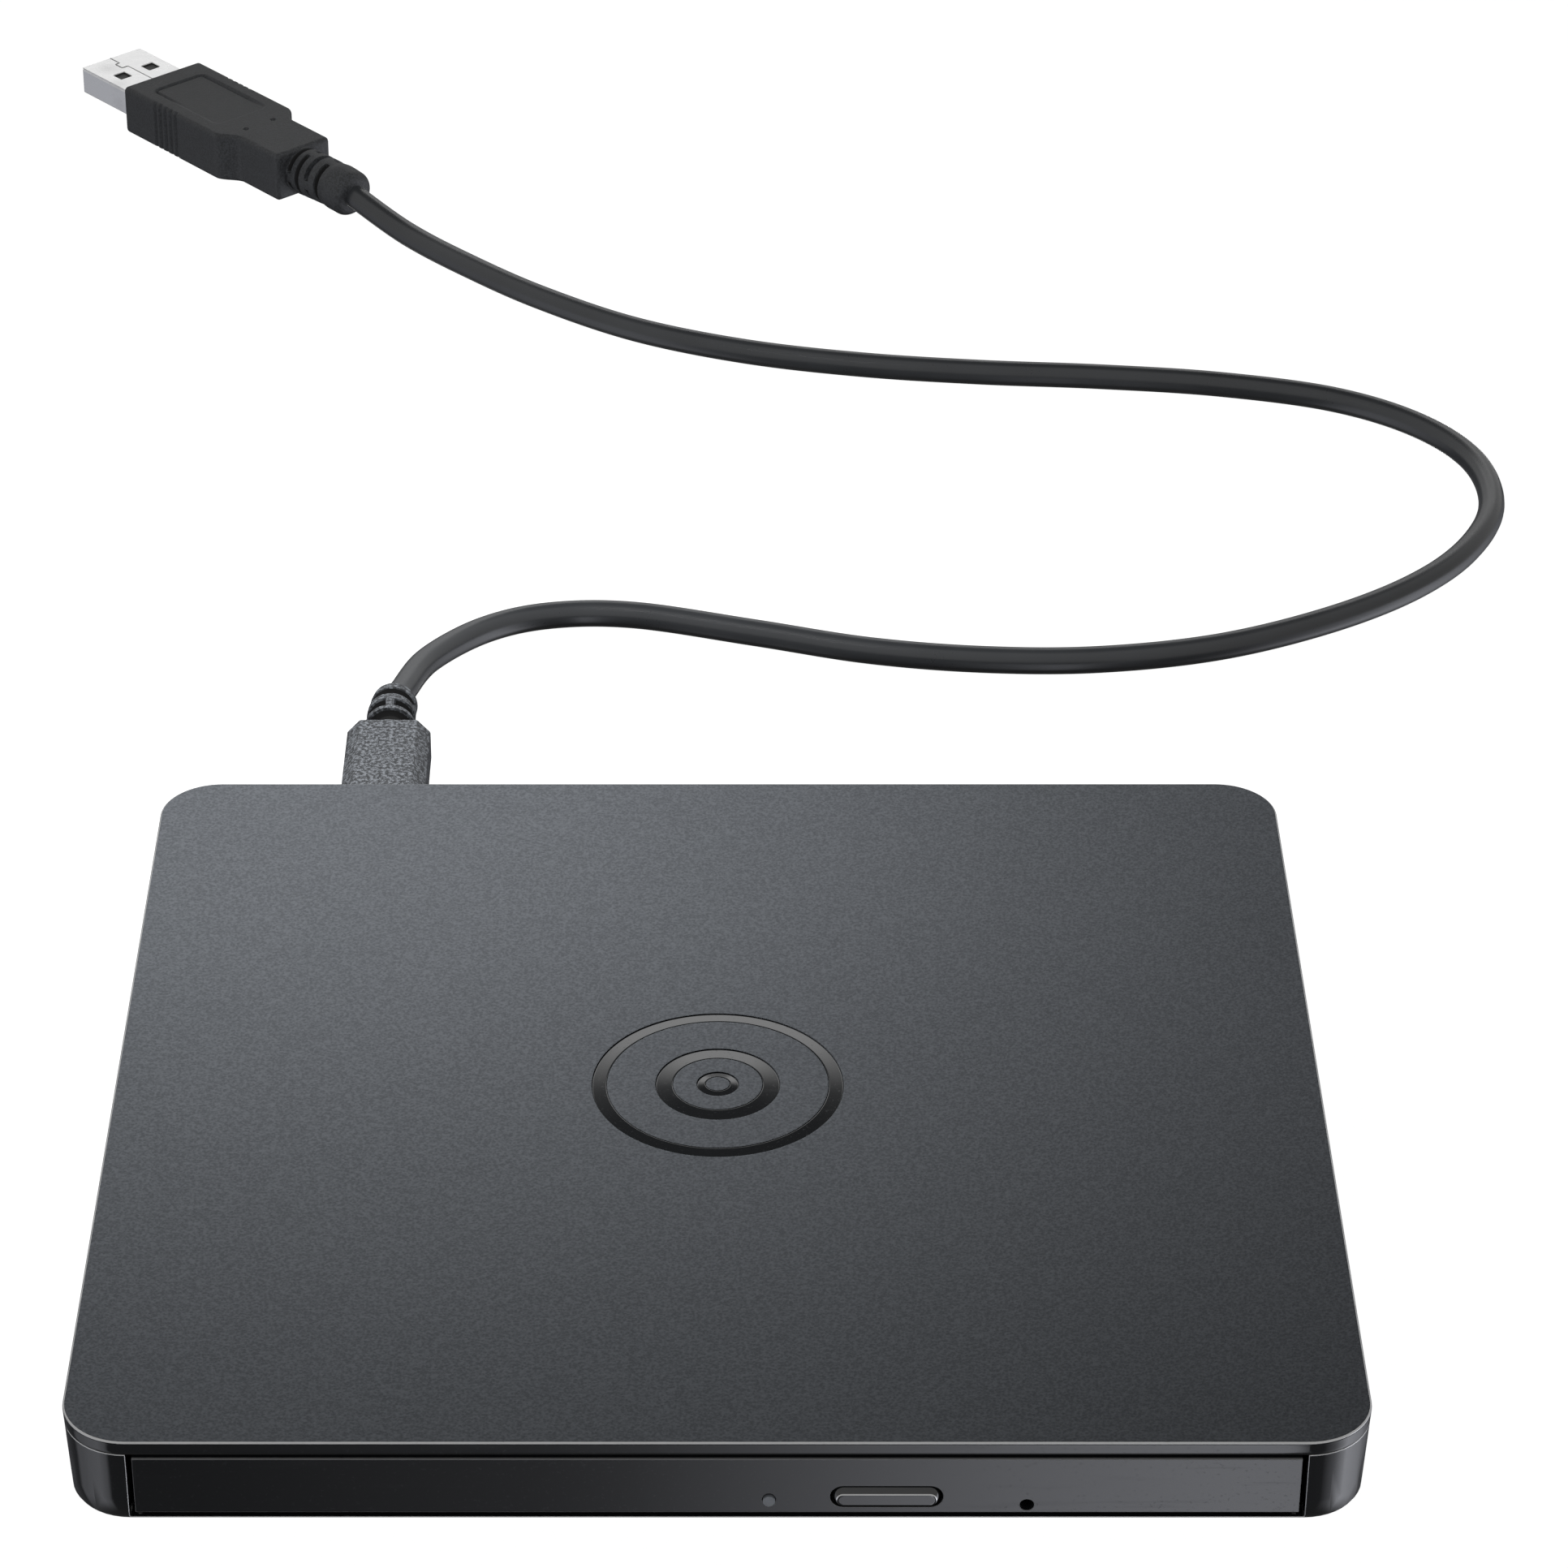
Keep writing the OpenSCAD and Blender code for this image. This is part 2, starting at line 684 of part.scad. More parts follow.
module objective_lens() {
    color("#8fa7c9") carriage() translate([lens_u, 0, 7.2]) {
        cylinder(h = 0.7, r = 2.0);
        translate([0, 0, 0.7]) cylinder(h = 0.3, r1 = 2.0, r2 = 1.2);
    }
}

module lead_screw() {
    pitch = 3;
    groove_count = 13;
    color("#cfd2d6") carriage() difference() {
        rod(14.1, 60.4, screw_v, rod_z, rod_r);
        for (i = [0:groove_count - 1]) translate([18 + i * pitch, screw_v, rod_z])
            rotate([0, 90, 0]) translate([0, 0, -0.3]) ring(rod_r + 1, rod_r - 0.2, 0.6);
    }
}

// ---- latch and eject ----

module latch_pivot() {
    color("silver") translate([lever_pivot[0], lever_pivot[1], 4.6]) {
        cylinder(h = 2.0, r = 0.9);
        translate([0, 0, 1.7]) cylinder(h = 0.4, r = 1.5);
    }
}

module latch_lever() {
    z0 = 4.75;
    z1 = 5.9;
    px = lever_pivot[0];
    py = lever_pivot[1];
    color("#e4e2da") difference() {
        union() {
            translate([px, py, z0]) cylinder(h = z1 - z0, r = 2.2);
            span([clip_hole_x - 1.5, py - 0.9, z0], [px, py + 0.6, z1]);
            span([px, py - 1, z0], [px + 3.5, py + 1, z1]);
            span([px + 2, py - 1, z0], [px + 3.5, py + 17.6, z1]);
            span([px - 0.2, py + 16.4, z0], [px + 3.5, py + 17.6, z1]);
        }
        translate([px, py, z0 - 1]) cylinder(h = 4, r = 0.95);
    }
}

module eject_solenoid() {
    color("#7a4a2a") span([53, -57, 4.65], [58.2, -47, 7.4]);
    color("#b5b8bc") span([52, -58.6, 4.65], [58.2, -57, 7.4]);
    color("#b5b8bc") span([52, -47, 4.65], [58.2, -45.4, 7.4]);
}

module kick_spring() {
    coils = 9;
    color("silver") for (i = [0:coils - 1])
        translate([-48, tray_back - 12.4 + i * 1.2, 9.4]) rotate([90, 0, 0])
            rotate_extrude() translate([0.85, 0]) circle(r = 0.18, $fn = 16);
}

module kick_plunger() {
    color("#e4e2da") translate([-48, 0, 9.4]) {
        translate([0, tray_back + 0.9, 0]) rotate([90, 0, 0]) cylinder(h = 2.2, r = 1.2);
        translate([0, tray_back, 0]) rotate([90, 0, 0]) cylinder(h = 12, r = 0.5);
    }
}

module eject_button() {
    face_y = front_y + inset(button_z);
    color("#2b2d30") translate([button_x, 0, button_z]) {
        stadium(button_len, button_h, face_y - proud, bezel_back - 0.2);
        stadium(button_len + 1.8, button_h + 1, bezel_back - 0.3, bezel_back + 0.3);
        translate([0, bezel_back + 0.8, 0]) rotate([90, 0, 0]) cylinder(h = 1, r = 1.1);
    }
}

// ---- lead and its plugs ----

// point on a smooth curve through p1 and p2
function smooth(p0, p1, p2, p3, t) =
    0.5 * (2 * p1 + (p2 - p0) * t + (2 * p0 - 5 * p1 + 4 * p2 - p3) * t * t
        + (3 * p1 - p0 - 3 * p2 + p3) * t * t * t);

function route_point(i) = ROUTE[max(0, min(len(ROUTE) - 1, i))];

// the route with a ring at each point and one between
function fine_route() = [
    for (i = [0:2 * (len(ROUTE) - 1)])
        let (k = floor(i / 2))
        smooth(route_point(k - 1), route_point(k), route_point(k + 1), route_point(k + 2), (i % 2) / 2)
];

function unit(v) = v / norm(v);

// corners of a ring of the tube round point p, looking along t
function ring_points(p, t, r, sides) =
    let (side = unit(cross(t, [0, 0, 1])), up = cross(side, t))
    [
        for (k = [0:sides - 1])
            let (a = (k + 0.5) * 360 / sides)
            p + r * (cos(a) * side + sin(a) * up)
    ];

module swept_tube(path, r, sides) {
    last = len(path) - 1;
    points = [
        for (i = [0:last])
            let (t = unit(path[min(last, i + 1)] - path[max(0, i - 1)]))
            each ring_points(path[i], t, r, sides)
    ];
    skin = [
        for (i = [0:last - 1], k = [0:sides - 1])
            let (a = i * sides + k, b = i * sides + (k + 1) % sides)
            each [[a, a + sides, b], [b, a + sides, b + sides]]
    ];
    ends = [
        [for (k = [0:sides - 1]) k],
        [for (k = [sides - 1:-1:0]) last * sides + k]
    ];
    polyhedron(points, concat(skin, ends));
}

module lead_tube() {
    color("#232426") swept_tube(fine_route(), lead_r, 8);
}

// tapering sleeve along +Z, with a ring cut away between each pair of heights
module relief(r0, r1, len, cuts) {
    difference() {
        cylinder(h = len, r1 = r0, r2 = r1);
        for (cut = cuts) translate([0, 0, relief_root + cut[0]])
            ring(r0 + 1, lead_r + 0.35, cut[1] - cut[0]);
    }
}

// leans a +Z shape from one point towards another
module aim(from, to) {
    d = to - from;
    translate(from) rotate([0, acos(d[2] / norm(d)), atan2(d[1], d[0])]) children();
}

module mini_plug_relief() {
    from = [socket_x, mini_body_end - relief_root, socket_z];
    color("#1c1d1f") difference() {
        aim(from, ROUTE[0]) relief(3.65, 3.1, norm(ROUTE[0] - from), mini_cuts);
        span([socket_x - 5, mini_body_end - 2, 0], [socket_x + 5, mini_body_end, 12]);
    }
}

module mini_plug_body() {
    y0 = -front_y + 0.35;
    flat = mini_half - mini_bevel[0];
    side = mini_half_z - mini_bevel[1];
    color("#2a2b2e") translate([socket_x, mini_body_end, socket_z]) rotate([90, 0, 0])
        linear_extrude(mini_body_end - y0) polygon([
            [-mini_half, -side], [-flat, -mini_half_z], [flat, -mini_half_z], [mini_half, -side],
            [mini_half, side], [flat, mini_half_z], [-flat, mini_half_z], [-mini_half, side]
        ]);
}

module mini_plug_shell() {
    y0 = drive_back + 1.6;
    y1 = -front_y + 0.35;
    color("#c9ccd0") translate([socket_x, 0, socket_z]) difference() {
        span([-3.4, y0, -1.5], [3.4, y1, 1.5]);
        span([-3.1, y0 - 1, -1.2], [3.1, y1 - 1, 1.2]);
    }
}

module usb_plug_body() {
    x0 = plug_shell_len;
    x1 = x0 + plug_body_len;
    nose = plug_half - 0.6;
    color("#1f2022") flat_plug() difference() {
        translate([0, 0, -plug_half_z]) linear_extrude(2 * plug_half_z) polygon([
            [x0, -nose], [x0 + 0.6, -plug_half], [x0 + shoulder[0], -plug_half],
            [x0 + shoulder[1], -neck_half], [x1, -neck_half], [x1, neck_half],
            [x0 + shoulder[1], neck_half], [x0 + shoulder[0], plug_half],
            [x0 + 0.6, plug_half], [x0, nose]
        ]);
        for (i = [0:4], side = [-1, 1])
            translate([x0 + 8.7 + i * 1.4, side * plug_half, 0]) cube([0.7, 0.7, 10], center = true);
        span([x0 - 1, -5.5, -1.8], [x0 + 4, 5.5, 1.8]);
    }
}

// rolled from one sheet: a stepped joint runs along its top, and a fold's slit along one side
module usb_plug_shell() {
    joint = [[-1, 2.7, -0.25], [2.7, 4.6, -1.1], [4.6, plug_shell_len, 0.1]];
    color("#c5c8cb") flat_plug() difference() {
        span([0, -6, -2.25], [plug_shell_len, 6, 2.25]);
        span([-1, -5.7, -1.95], [plug_shell_len - 0.5, 5.7, 1.95]);
        for (v = [-1, 1], z = [-1, 1])
            translate([7.2, v * 2.9, z * 2.1]) cube([2.3, 2.3, 1], center = true);
        for (run = joint)
            span([run[0], run[2] - 0.06, 2.15], [run[1] + 0.06, run[2] + 0.06, 3]);
        for (i = [0, 1])
            span([joint[i][1] - 0.06, min(joint[i][2], joint[i + 1][2]) - 0.06, 2.15],
                [joint[i][1] + 0.06, max(joint[i][2], joint[i + 1][2]) + 0.06, 3]);
        span([-1, -7, 1.83], [plug_shell_len + 1, -5.85, 2.08]);
    }
}

module usb_plug_tongue() {
    color("#2b2c2e") flat_plug() span([0.6, -5.6, 0.1], [plug_shell_len - 0.6, 5.6, 1.9]);
}

module usb_plug_contacts() {
    color("#d9b64a") flat_plug() for (v = [-3.5, -1, 1, 3.5])
        span([1.4, v - 0.5, -0.05], [9, v + 0.5, 0.1]);
}

module usb_plug_relief() {
    end = plug_shell_len + plug_body_len;
    away = (end - relief_root) * [cos(plug_turn), sin(plug_turn)];
    from = [plug_tip[0] + away[0], plug_tip[1] + away[1], plug_z];
    to = ROUTE[len(ROUTE) - 1];
    color("#1c1d1f") difference() {
        aim(from, to) relief(3.9, 3.7, norm(to - from), flat_cuts);
        flat_plug() span([end - 2, -5, -5], [end, 5, 5]);
    }
}

top_cover();
bottom_cover();
badge_ring();
badge_mark();
rubber_feet();
case_screws();
blank_label();
bridge_board();
bridge_chips();
mini_socket();
board_connector();
drive_connector();
drive_pan();
drive_top_plate();
rail_channels();
chassis_board();
fixed_flex();
latch_post();
left_rail();
right_rail();
disc_tray();
tray_bezel();
light_pipe();
tray_bottom_cover();
tray_board();
tray_chips();
eject_switch();
tray_flex();
tray_screws();
traverse_frame();
traverse_cover();
damper_grommets();
guide_rods();
stepper_motor();
spindle_base();
spindle_bearing();
latch_pivot();
eject_solenoid();
kick_spring();
kick_plunger();
spindle_rotor();
turntable_pad();
disc_hub();
pickup_sled();
pickup_cover();
lens_holder();
objective_lens();
lead_screw();
latch_lever();
eject_button();
mini_plug_shell();
mini_plug_body();
mini_plug_relief();
lead_tube();
usb_plug_relief();
usb_plug_body();
usb_plug_shell();
usb_plug_tongue();
usb_plug_contacts();
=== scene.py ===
# External optical drive: the camera and the lead, then finishes, fine shapes and the studio.
# Metres, in the frame of the part. New pieces are grids of points worked out as whole arrays.
import json
import math

import bmesh
import bpy
import numpy as np
from mathutils import Matrix, Vector


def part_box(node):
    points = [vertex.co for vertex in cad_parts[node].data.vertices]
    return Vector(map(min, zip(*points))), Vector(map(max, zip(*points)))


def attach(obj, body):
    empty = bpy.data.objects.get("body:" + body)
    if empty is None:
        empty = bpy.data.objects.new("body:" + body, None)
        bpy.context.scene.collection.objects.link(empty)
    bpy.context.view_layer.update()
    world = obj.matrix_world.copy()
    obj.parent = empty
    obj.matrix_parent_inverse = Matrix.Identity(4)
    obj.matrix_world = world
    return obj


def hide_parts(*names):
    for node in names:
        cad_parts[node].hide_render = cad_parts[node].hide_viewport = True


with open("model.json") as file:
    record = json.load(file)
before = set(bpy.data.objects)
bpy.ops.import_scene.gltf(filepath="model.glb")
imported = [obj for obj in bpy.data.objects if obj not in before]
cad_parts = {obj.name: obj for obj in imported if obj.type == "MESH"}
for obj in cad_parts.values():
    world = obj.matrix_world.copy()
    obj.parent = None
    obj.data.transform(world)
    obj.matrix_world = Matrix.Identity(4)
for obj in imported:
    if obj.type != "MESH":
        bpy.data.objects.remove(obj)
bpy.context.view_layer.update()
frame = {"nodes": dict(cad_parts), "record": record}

camera = {
    "lens": 126.11,
    "sensor": 36.0,
    "shiftX": 0.04175,
    "target": (0.0, 0.068605, 0.014),
    "distance": 0.714866,
    "pitch": 31.46,
    "yaw": -0.106,
    "roll": -0.059,
}


def makeCamera(facts):
    pitch, yaw, roll = (math.radians(facts[name]) for name in ("pitch", "yaw", "roll"))
    level = math.cos(pitch)
    ahead = Vector((math.sin(yaw) * level, math.cos(yaw) * level, -math.sin(pitch)))
    right = Vector((math.cos(yaw), -math.sin(yaw), 0))
    up = right.cross(ahead)
    tiltedRight = right * math.cos(roll) + up * math.sin(roll)
    tiltedUp = up * math.cos(roll) - right * math.sin(roll)
    place = Vector(facts["target"]) - ahead * facts["distance"]
    data = bpy.data.cameras.new("viewCamera")
    data.lens = facts["lens"]
    data.sensor_width = facts["sensor"]
    data.shift_x = facts["shiftX"]
    data.clip_start = 0.01
    data.clip_end = 20
    made = bpy.data.objects.new("viewCamera", data)
    turn = Matrix((tiltedRight, tiltedUp, -ahead)).transposed().to_4x4()
    made.matrix_world = Matrix.Translation(place) @ turn
    bpy.context.scene.collection.objects.link(made)
    bpy.context.scene.camera = made


makeCamera(camera)

lead = {
    "diameter": 0.0038,
    "stepsPerStretch": 12,
    "sides": 28,
    "route": [
        (-0.044, 0.1034, 0.0058), (-0.04325, 0.1073, 0.0054), (-0.0402, 0.1174, 0.0044),
        (-0.033, 0.128, 0.003), (-0.024, 0.1335, 0.0022), (-0.012, 0.134, 0.002),
        (0.005, 0.129, 0.002), (0.021, 0.124, 0.002), (0.037, 0.1215, 0.002),
        (0.053, 0.1215, 0.002), (0.070, 0.125, 0.002), (0.086, 0.1325, 0.002),
        (0.099, 0.142, 0.002), (0.108, 0.153, 0.002), (0.113, 0.166, 0.002),
        (0.112, 0.180, 0.002), (0.105, 0.1915, 0.002), (0.093, 0.200, 0.002),
        (0.076, 0.205, 0.002), (0.058, 0.2075, 0.002), (0.040, 0.209, 0.002),
        (0.022, 0.2115, 0.002), (0.004, 0.216, 0.002), (-0.013, 0.2235, 0.002),
        (-0.028, 0.2345, 0.002), (-0.040, 0.246, 0.002), (-0.0502, 0.2568, 0.0024),
        (-0.0592, 0.267, 0.0042),
    ],
}


def meshObject(name, points, wrapRows=False, sharp=40):
    # points is rows x columns x 3; columns close round, rows close too or end in a pole at each end
    grid = np.asarray(points, float)
    if not wrapRows:
        first = np.broadcast_to(grid[0].mean(axis=0), grid[:1].shape)
        last = np.broadcast_to(grid[-1].mean(axis=0), grid[:1].shape)
        grid = np.concatenate([first, grid, last])
    rows, columns = grid.shape[:2]
    index = np.arange(rows * columns).reshape(rows, columns)
    low, high = (index, np.roll(index, -1, axis=0)) if wrapRows else (index[:-1], index[1:])
    corners = [low, np.roll(low, -1, axis=1), np.roll(high, -1, axis=1), high]
    faces = np.stack(corners, axis=-1).reshape(-1, 4)
    return cleanObject(name, grid.reshape(-1, 3), faces, sharp)


def cleanObject(name, points, faces, sharp, flatten=False):
    # merges doubles, closes poles, joins flat triangles if asked, and turns every face outwards
    mesh = bpy.data.meshes.new(name)
    mesh.from_pydata(np.asarray(points).tolist(), [], np.asarray(faces).tolist())
    work = bmesh.new()
    work.from_mesh(mesh)
    bmesh.ops.remove_doubles(work, verts=work.verts, dist=2e-7)
    if flatten:
        bmesh.ops.dissolve_limit(work, angle_limit=math.radians(0.6), verts=work.verts, edges=work.edges)
    bmesh.ops.recalc_face_normals(work, faces=work.faces)
    work.to_mesh(mesh)
    work.free()
    mesh.shade_smooth()
    mesh.set_sharp_from_angle(angle=math.radians(sharp))
    made = bpy.data.objects.new(name, mesh)
    bpy.context.scene.collection.objects.link(made)
    return made


def softened(name, node, width, segments=2, angle=32, edgeFinish=False):
    # copy of a CAD node, merged and made of flat faces again, with its edges rounded;
    # the rounded edges can take a finish of their own, the second one
    source = frame["nodes"][node].data
    points = np.zeros(len(source.vertices) * 3)
    source.vertices.foreach_get("co", points)
    corners = np.zeros(len(source.loops), int)
    source.loops.foreach_get("vertex_index", corners)
    made = cleanObject(name, points.reshape(-1, 3), corners.reshape(-1, 3), angle, flatten=True)
    bevel = made.modifiers.new("roundEdges", "BEVEL")
    bevel.width = width
    bevel.segments = segments
    bevel.limit_method = "ANGLE"
    bevel.angle_limit = math.radians(angle)
    bevel.use_clamp_overlap = False
    bevel.miter_outer = "MITER_ARC"
    bevel.harden_normals = True
    bevel.material = 1 if edgeFinish else -1
    return made


def loopShape(cornerSteps, sideSteps):
    # a rounded rectangle is sign * (half size - radius) + radius * direction, point by point round it
    signs = np.array([(1, -1), (1, 1), (-1, 1), (-1, -1)], float)
    starts = np.radians([-90, 0, 90, 180])
    arc = np.linspace(0, math.pi / 2, cornerSteps + 1)
    angles = starts[:, None] + arc
    arcDirection = np.stack([np.cos(angles), np.sin(angles)], axis=-1)
    arcSign = np.broadcast_to(signs[:, None], arcDirection.shape)
    share = (np.arange(1, sideSteps) / sideSteps)[None, :, None]
    sideSign = signs[:, None] * (1 - share) + np.roll(signs, -1, axis=0)[:, None] * share
    sideDirection = np.broadcast_to(arcDirection[:, -1:], sideSign.shape)
    sign = np.concatenate([arcSign, sideSign], axis=1).reshape(-1, 2)
    direction = np.concatenate([arcDirection, sideDirection], axis=1).reshape(-1, 2)
    return sign, direction


def roundedRows(shape, core, radii):
    # one loop per radius round the same core rectangle: sign * core + radius * direction
    sign, direction = shape
    return sign * np.asarray(core) + np.asarray(radii, float)[:, None, None] * direction


def withHeight(loops, heights):
    # adds one height to every point of a loop
    rows = np.asarray(heights, float).reshape(-1, 1, 1)
    return np.concatenate([loops, np.broadcast_to(rows, loops.shape[:2] + (1,))], axis=-1)


def lathe(profile, steps, centre=(0.0, 0.0)):
    # profile of (radius, height) turned about an upright axis
    radius, height = np.asarray(profile, float).T
    angle = np.linspace(0, 2 * math.pi, steps, endpoint=False)
    x = centre[0] + radius[:, None] * np.cos(angle)
    y = centre[1] + radius[:, None] * np.sin(angle)
    return np.stack([x, y, np.broadcast_to(height[:, None], x.shape)], axis=-1)


def smoothRoute(points, steps):
    # Catmull-Rom: each stretch is a cubic that passes its points along their neighbours' chord
    given = np.asarray(points, float)
    padded = np.vstack([given[:1], given, given[-1:]])
    a, b, c, d = (padded[i:len(given) - 1 + i, None] for i in range(4))
    t = (np.arange(steps) / steps)[None, :, None]
    line = 0.5 * (2 * b + (c - a) * t + (2 * a - 5 * b + 4 * c - d) * t**2 + (3 * b - a - 3 * c + d) * t**3)
    return np.vstack([line.reshape(-1, 3), given[-1:]])


def bend(start, startWay, end, endWay, steps):
    # Hermite cubic: (2t^3-3t^2+1) start + (t^3-2t^2+t) startWay + (3t^2-2t^3) end + (t^3-t^2) endWay
    t = np.linspace(0, 1, steps)[:, None]
    arrive = 3 * t**2 - 2 * t**3
    lift, settle = t**3 - 2 * t**2 + t, t**3 - t**2
    start, startWay, end, endWay = (np.asarray(v, float) for v in (start, startWay, end, endWay))
    return (1 - arrive) * start + lift * startWay + arrive * end + settle * endWay


def distanceAlong(path):
    # running sum of the straight pieces between points
    return np.concatenate([[0.0], np.cumsum(np.linalg.norm(np.diff(path, axis=0), axis=1))])


def sweptGrid(path, radius, sides):
    # path + radius(distance, angle) * (cos(angle) * sideways + sin(angle) * upwards)
    tangent = np.gradient(path, axis=0)
    tangent /= np.linalg.norm(tangent, axis=1, keepdims=True)
    sideways = np.cross(tangent, (0, 0, 1))
    sideways /= np.linalg.norm(sideways, axis=1, keepdims=True)
    upwards = np.cross(sideways, tangent)
    angle = np.linspace(0, 2 * math.pi, sides, endpoint=False)[None]
    r = radius(distanceAlong(path)[:, None], angle)
    around = np.cos(angle)[..., None] * sideways[:, None] + np.sin(angle)[..., None] * upwards[:, None]
    return path[:, None] + r[..., None] * around


def step(value, edge, soft):
    # 0 below the edge and 1 above it, with a smooth ramp of width soft
    t = np.clip((value - edge) / soft + 0.5, 0, 1)
    return t * t * (3 - 2 * t)


def band(value, low, high, soft):
    # 1 between low and high and 0 outside, with the same ramps
    return step(value, low, soft) * (1 - step(value, high, soft))


class Wire:
    # a node's output; arithmetic on it adds Math nodes, and a plain number may stand on either side
    def __init__(self, paint, socket):
        self.paint = paint
        self.socket = socket

    def maths(self, operation, *others):
        return self.paint.node("Math", {"operation": operation}, dict(enumerate((self,) + others)))

    def __add__(self, other):
        return self.maths("ADD", other)

    __radd__ = __add__

    def __mul__(self, other):
        return self.maths("MULTIPLY", other)

    __rmul__ = __mul__

    def __sub__(self, other):
        return self.maths("SUBTRACT", other)

    def __rsub__(self, other):
        return self * -1.0 + other

    def __truediv__(self, other):
        return self.maths("DIVIDE", other)

    def __rtruediv__(self, other):
        return self.maths("POWER", -1.0) * other

    def __gt__(self, other):
        return self.maths("GREATER_THAN", other)

    def __lt__(self, other):
        return self.maths("LESS_THAN", other)


class Paint:
    # one node tree; every node but the shader's own comes from node()
    def __init__(self, tree):
        self.tree = tree

    def node(self, kind, settings=None, inputs=None, output=0):
        made = self.tree.nodes.new("ShaderNode" + kind)
        for key, value in (settings or {}).items():
            if key == "stops":
                self.setStops(made.color_ramp, value)
            else:
                setattr(made, key, value)
        for key, value in (inputs or {}).items():
            if isinstance(value, Wire):
                self.tree.links.new(value.socket, made.inputs[key])
            else:
                made.inputs[key].default_value = value
        return Wire(self, made.outputs[output])

    def setStops(self, ramp, stops):
        while len(ramp.elements) < len(stops):
            ramp.elements.new(0.5)
        for element, (place, value) in zip(ramp.elements, stops):
            element.position = place
            element.color = value if hasattr(value, "__len__") else (value, value, value, 1)

    def place(self):
        return self.node("TexCoord", output=3)

    def axis(self, number, where=None):
        return self.node("SeparateXYZ", {}, {0: where or self.place()}, output=number)

    def scaled(self, scale):
        return self.node("Mapping", {}, {"Vector": self.place(), "Scale": scale})

    def noise(self, scale, detail=3.0, rough=0.55, where=None):
        return self.node("TexNoise", {}, {
            "Vector": where or self.place(), "Scale": scale, "Detail": detail, "Roughness": rough})

    def cells(self, scale):
        return self.node("TexVoronoi", {}, {"Vector": self.place(), "Scale": scale})

    def between(self, value, low, high, newLow=0.0, newHigh=1.0):
        return self.node("MapRange", {"interpolation_type": "SMOOTHSTEP"}, {
            "Value": value, "From Min": low, "From Max": high, "To Min": newLow, "To Max": newHigh})

    def mixed(self, amount, first, second):
        return self.node("Mix", {"data_type": "RGBA"}, {0: amount, 6: first, 7: second}, output=2)


def finish(name, build, **shader):
    # build(paint) returns what changes over the surface; shader holds the fixed sockets
    material = bpy.data.materials.new(name)
    material.use_nodes = True
    paint = Paint(material.node_tree)
    principled = next(n for n in material.node_tree.nodes if n.type == "BSDF_PRINCIPLED")
    for key, value in shader.items():
        principled.inputs[key.replace("_", " ")].default_value = value
    made = build(paint)
    bump = made.pop("Bump", None)
    if bump:
        height, distance = bump
        made["Normal"] = paint.node("Bump", {}, {"Height": height, "Distance": distance, "Strength": 1.0})
    for key, wire in made.items():
        paint.tree.links.new(wire.socket, principled.inputs[key])
    return material


def grey(value, tint=(1.0, 1.0, 1.0)):
    return (value * tint[0], value * tint[1], value * tint[2], 1.0)


coolTint = (0.94, 1.0, 1.09)
cardTint = (0.97, 0.99, 1.07)


def leatherGrain(p):
    # pebbled moulding: small cells and finer noise, faintly lighter on the raised spots
    pebble = p.noise(2600, 3, 0.6) * 0.9 + p.cells(3000) * 0.35
    cloud = p.noise(22, 4)
    shade = p.between(pebble, 0.42, 0.86)
    return {
        "Base Color": p.mixed(shade * 0.75 + cloud * 0.25, grey(0.040, coolTint), grey(0.068, coolTint)),
        "Roughness": 0.55 + shade * 0.1 - cloud * 0.04,
        "Bump": (pebble, 0.00007),
    }


def polish(p, low=0.022, high=0.040):
    # polished black: faint moulding waves, a little dust in the gloss and hair scratches
    waves = p.noise(180, 2)
    dust = p.between(p.noise(2600, 2), 0.60, 0.72)
    scratch = p.between(p.noise(900, 2, 0.5, p.scaled((0.06, 1.0, 1.0))), 0.62, 0.7)
    return {
        "Base Color": p.mixed(dust * 0.25, grey(low, coolTint), grey(high, coolTint)),
        "Roughness": 0.07 + dust * 0.10 + scratch * 0.05,
        "Bump": (waves + scratch * 0.03, 0.0000015),
    }


def sparkGrain(low, high, rough, grain=2400, depth=0.000012):
    def build(p):
        pits = p.noise(grain, 3) * 0.6 + p.cells(grain * 0.7) * 0.4
        cloud = p.noise(30, 3)
        return {
            "Base Color": p.mixed(pits * 0.7 + cloud * 0.3, low, high),
            "Roughness": rough + pits * 0.12 - cloud * 0.05,
            "Bump": (pits, depth),
        }
    return build


def speckle(low, high, rough, grain=3300):
    # light flecks on a dark moulded skin
    def build(p):
        fleck = p.between(p.noise(grain, 4, 0.7), 0.44, 0.60)
        cloud = p.noise(60, 3)
        return {
            "Base Color": p.mixed(fleck * 0.85 + cloud * 0.15, low, high),
            "Roughness": rough + fleck * 0.08 - cloud * 0.04,
            "Bump": (fleck, 0.000014),
        }
    return build


# painted highlight: a light, metallic finish on a sharp edge that stands in for the specular line along it;
# noise breaks it up and adds small nicks
def rubbedEdge(light, dark):
    # where handling has rubbed the gloss off a sharp edge
    def build(p):
        wear = p.noise(420, 4)
        nick = p.between(p.noise(1400, 2), 0.62, 0.74)
        return {
            "Base Color": p.mixed(wear * 0.8 - nick * 0.3, dark, light),
            "Roughness": 0.24 + wear * 0.2,
            "Bump": (nick, -0.000006),
        }
    return build


def rubberSkin(p):
    bloom = p.noise(45, 4)
    grain = p.noise(2600, 3)
    return {
        "Base Color": p.mixed(bloom, grey(0.012), grey(0.030)),
        "Roughness": 0.72 + bloom * 0.15,
        "Bump": (grain, 0.000012),
    }


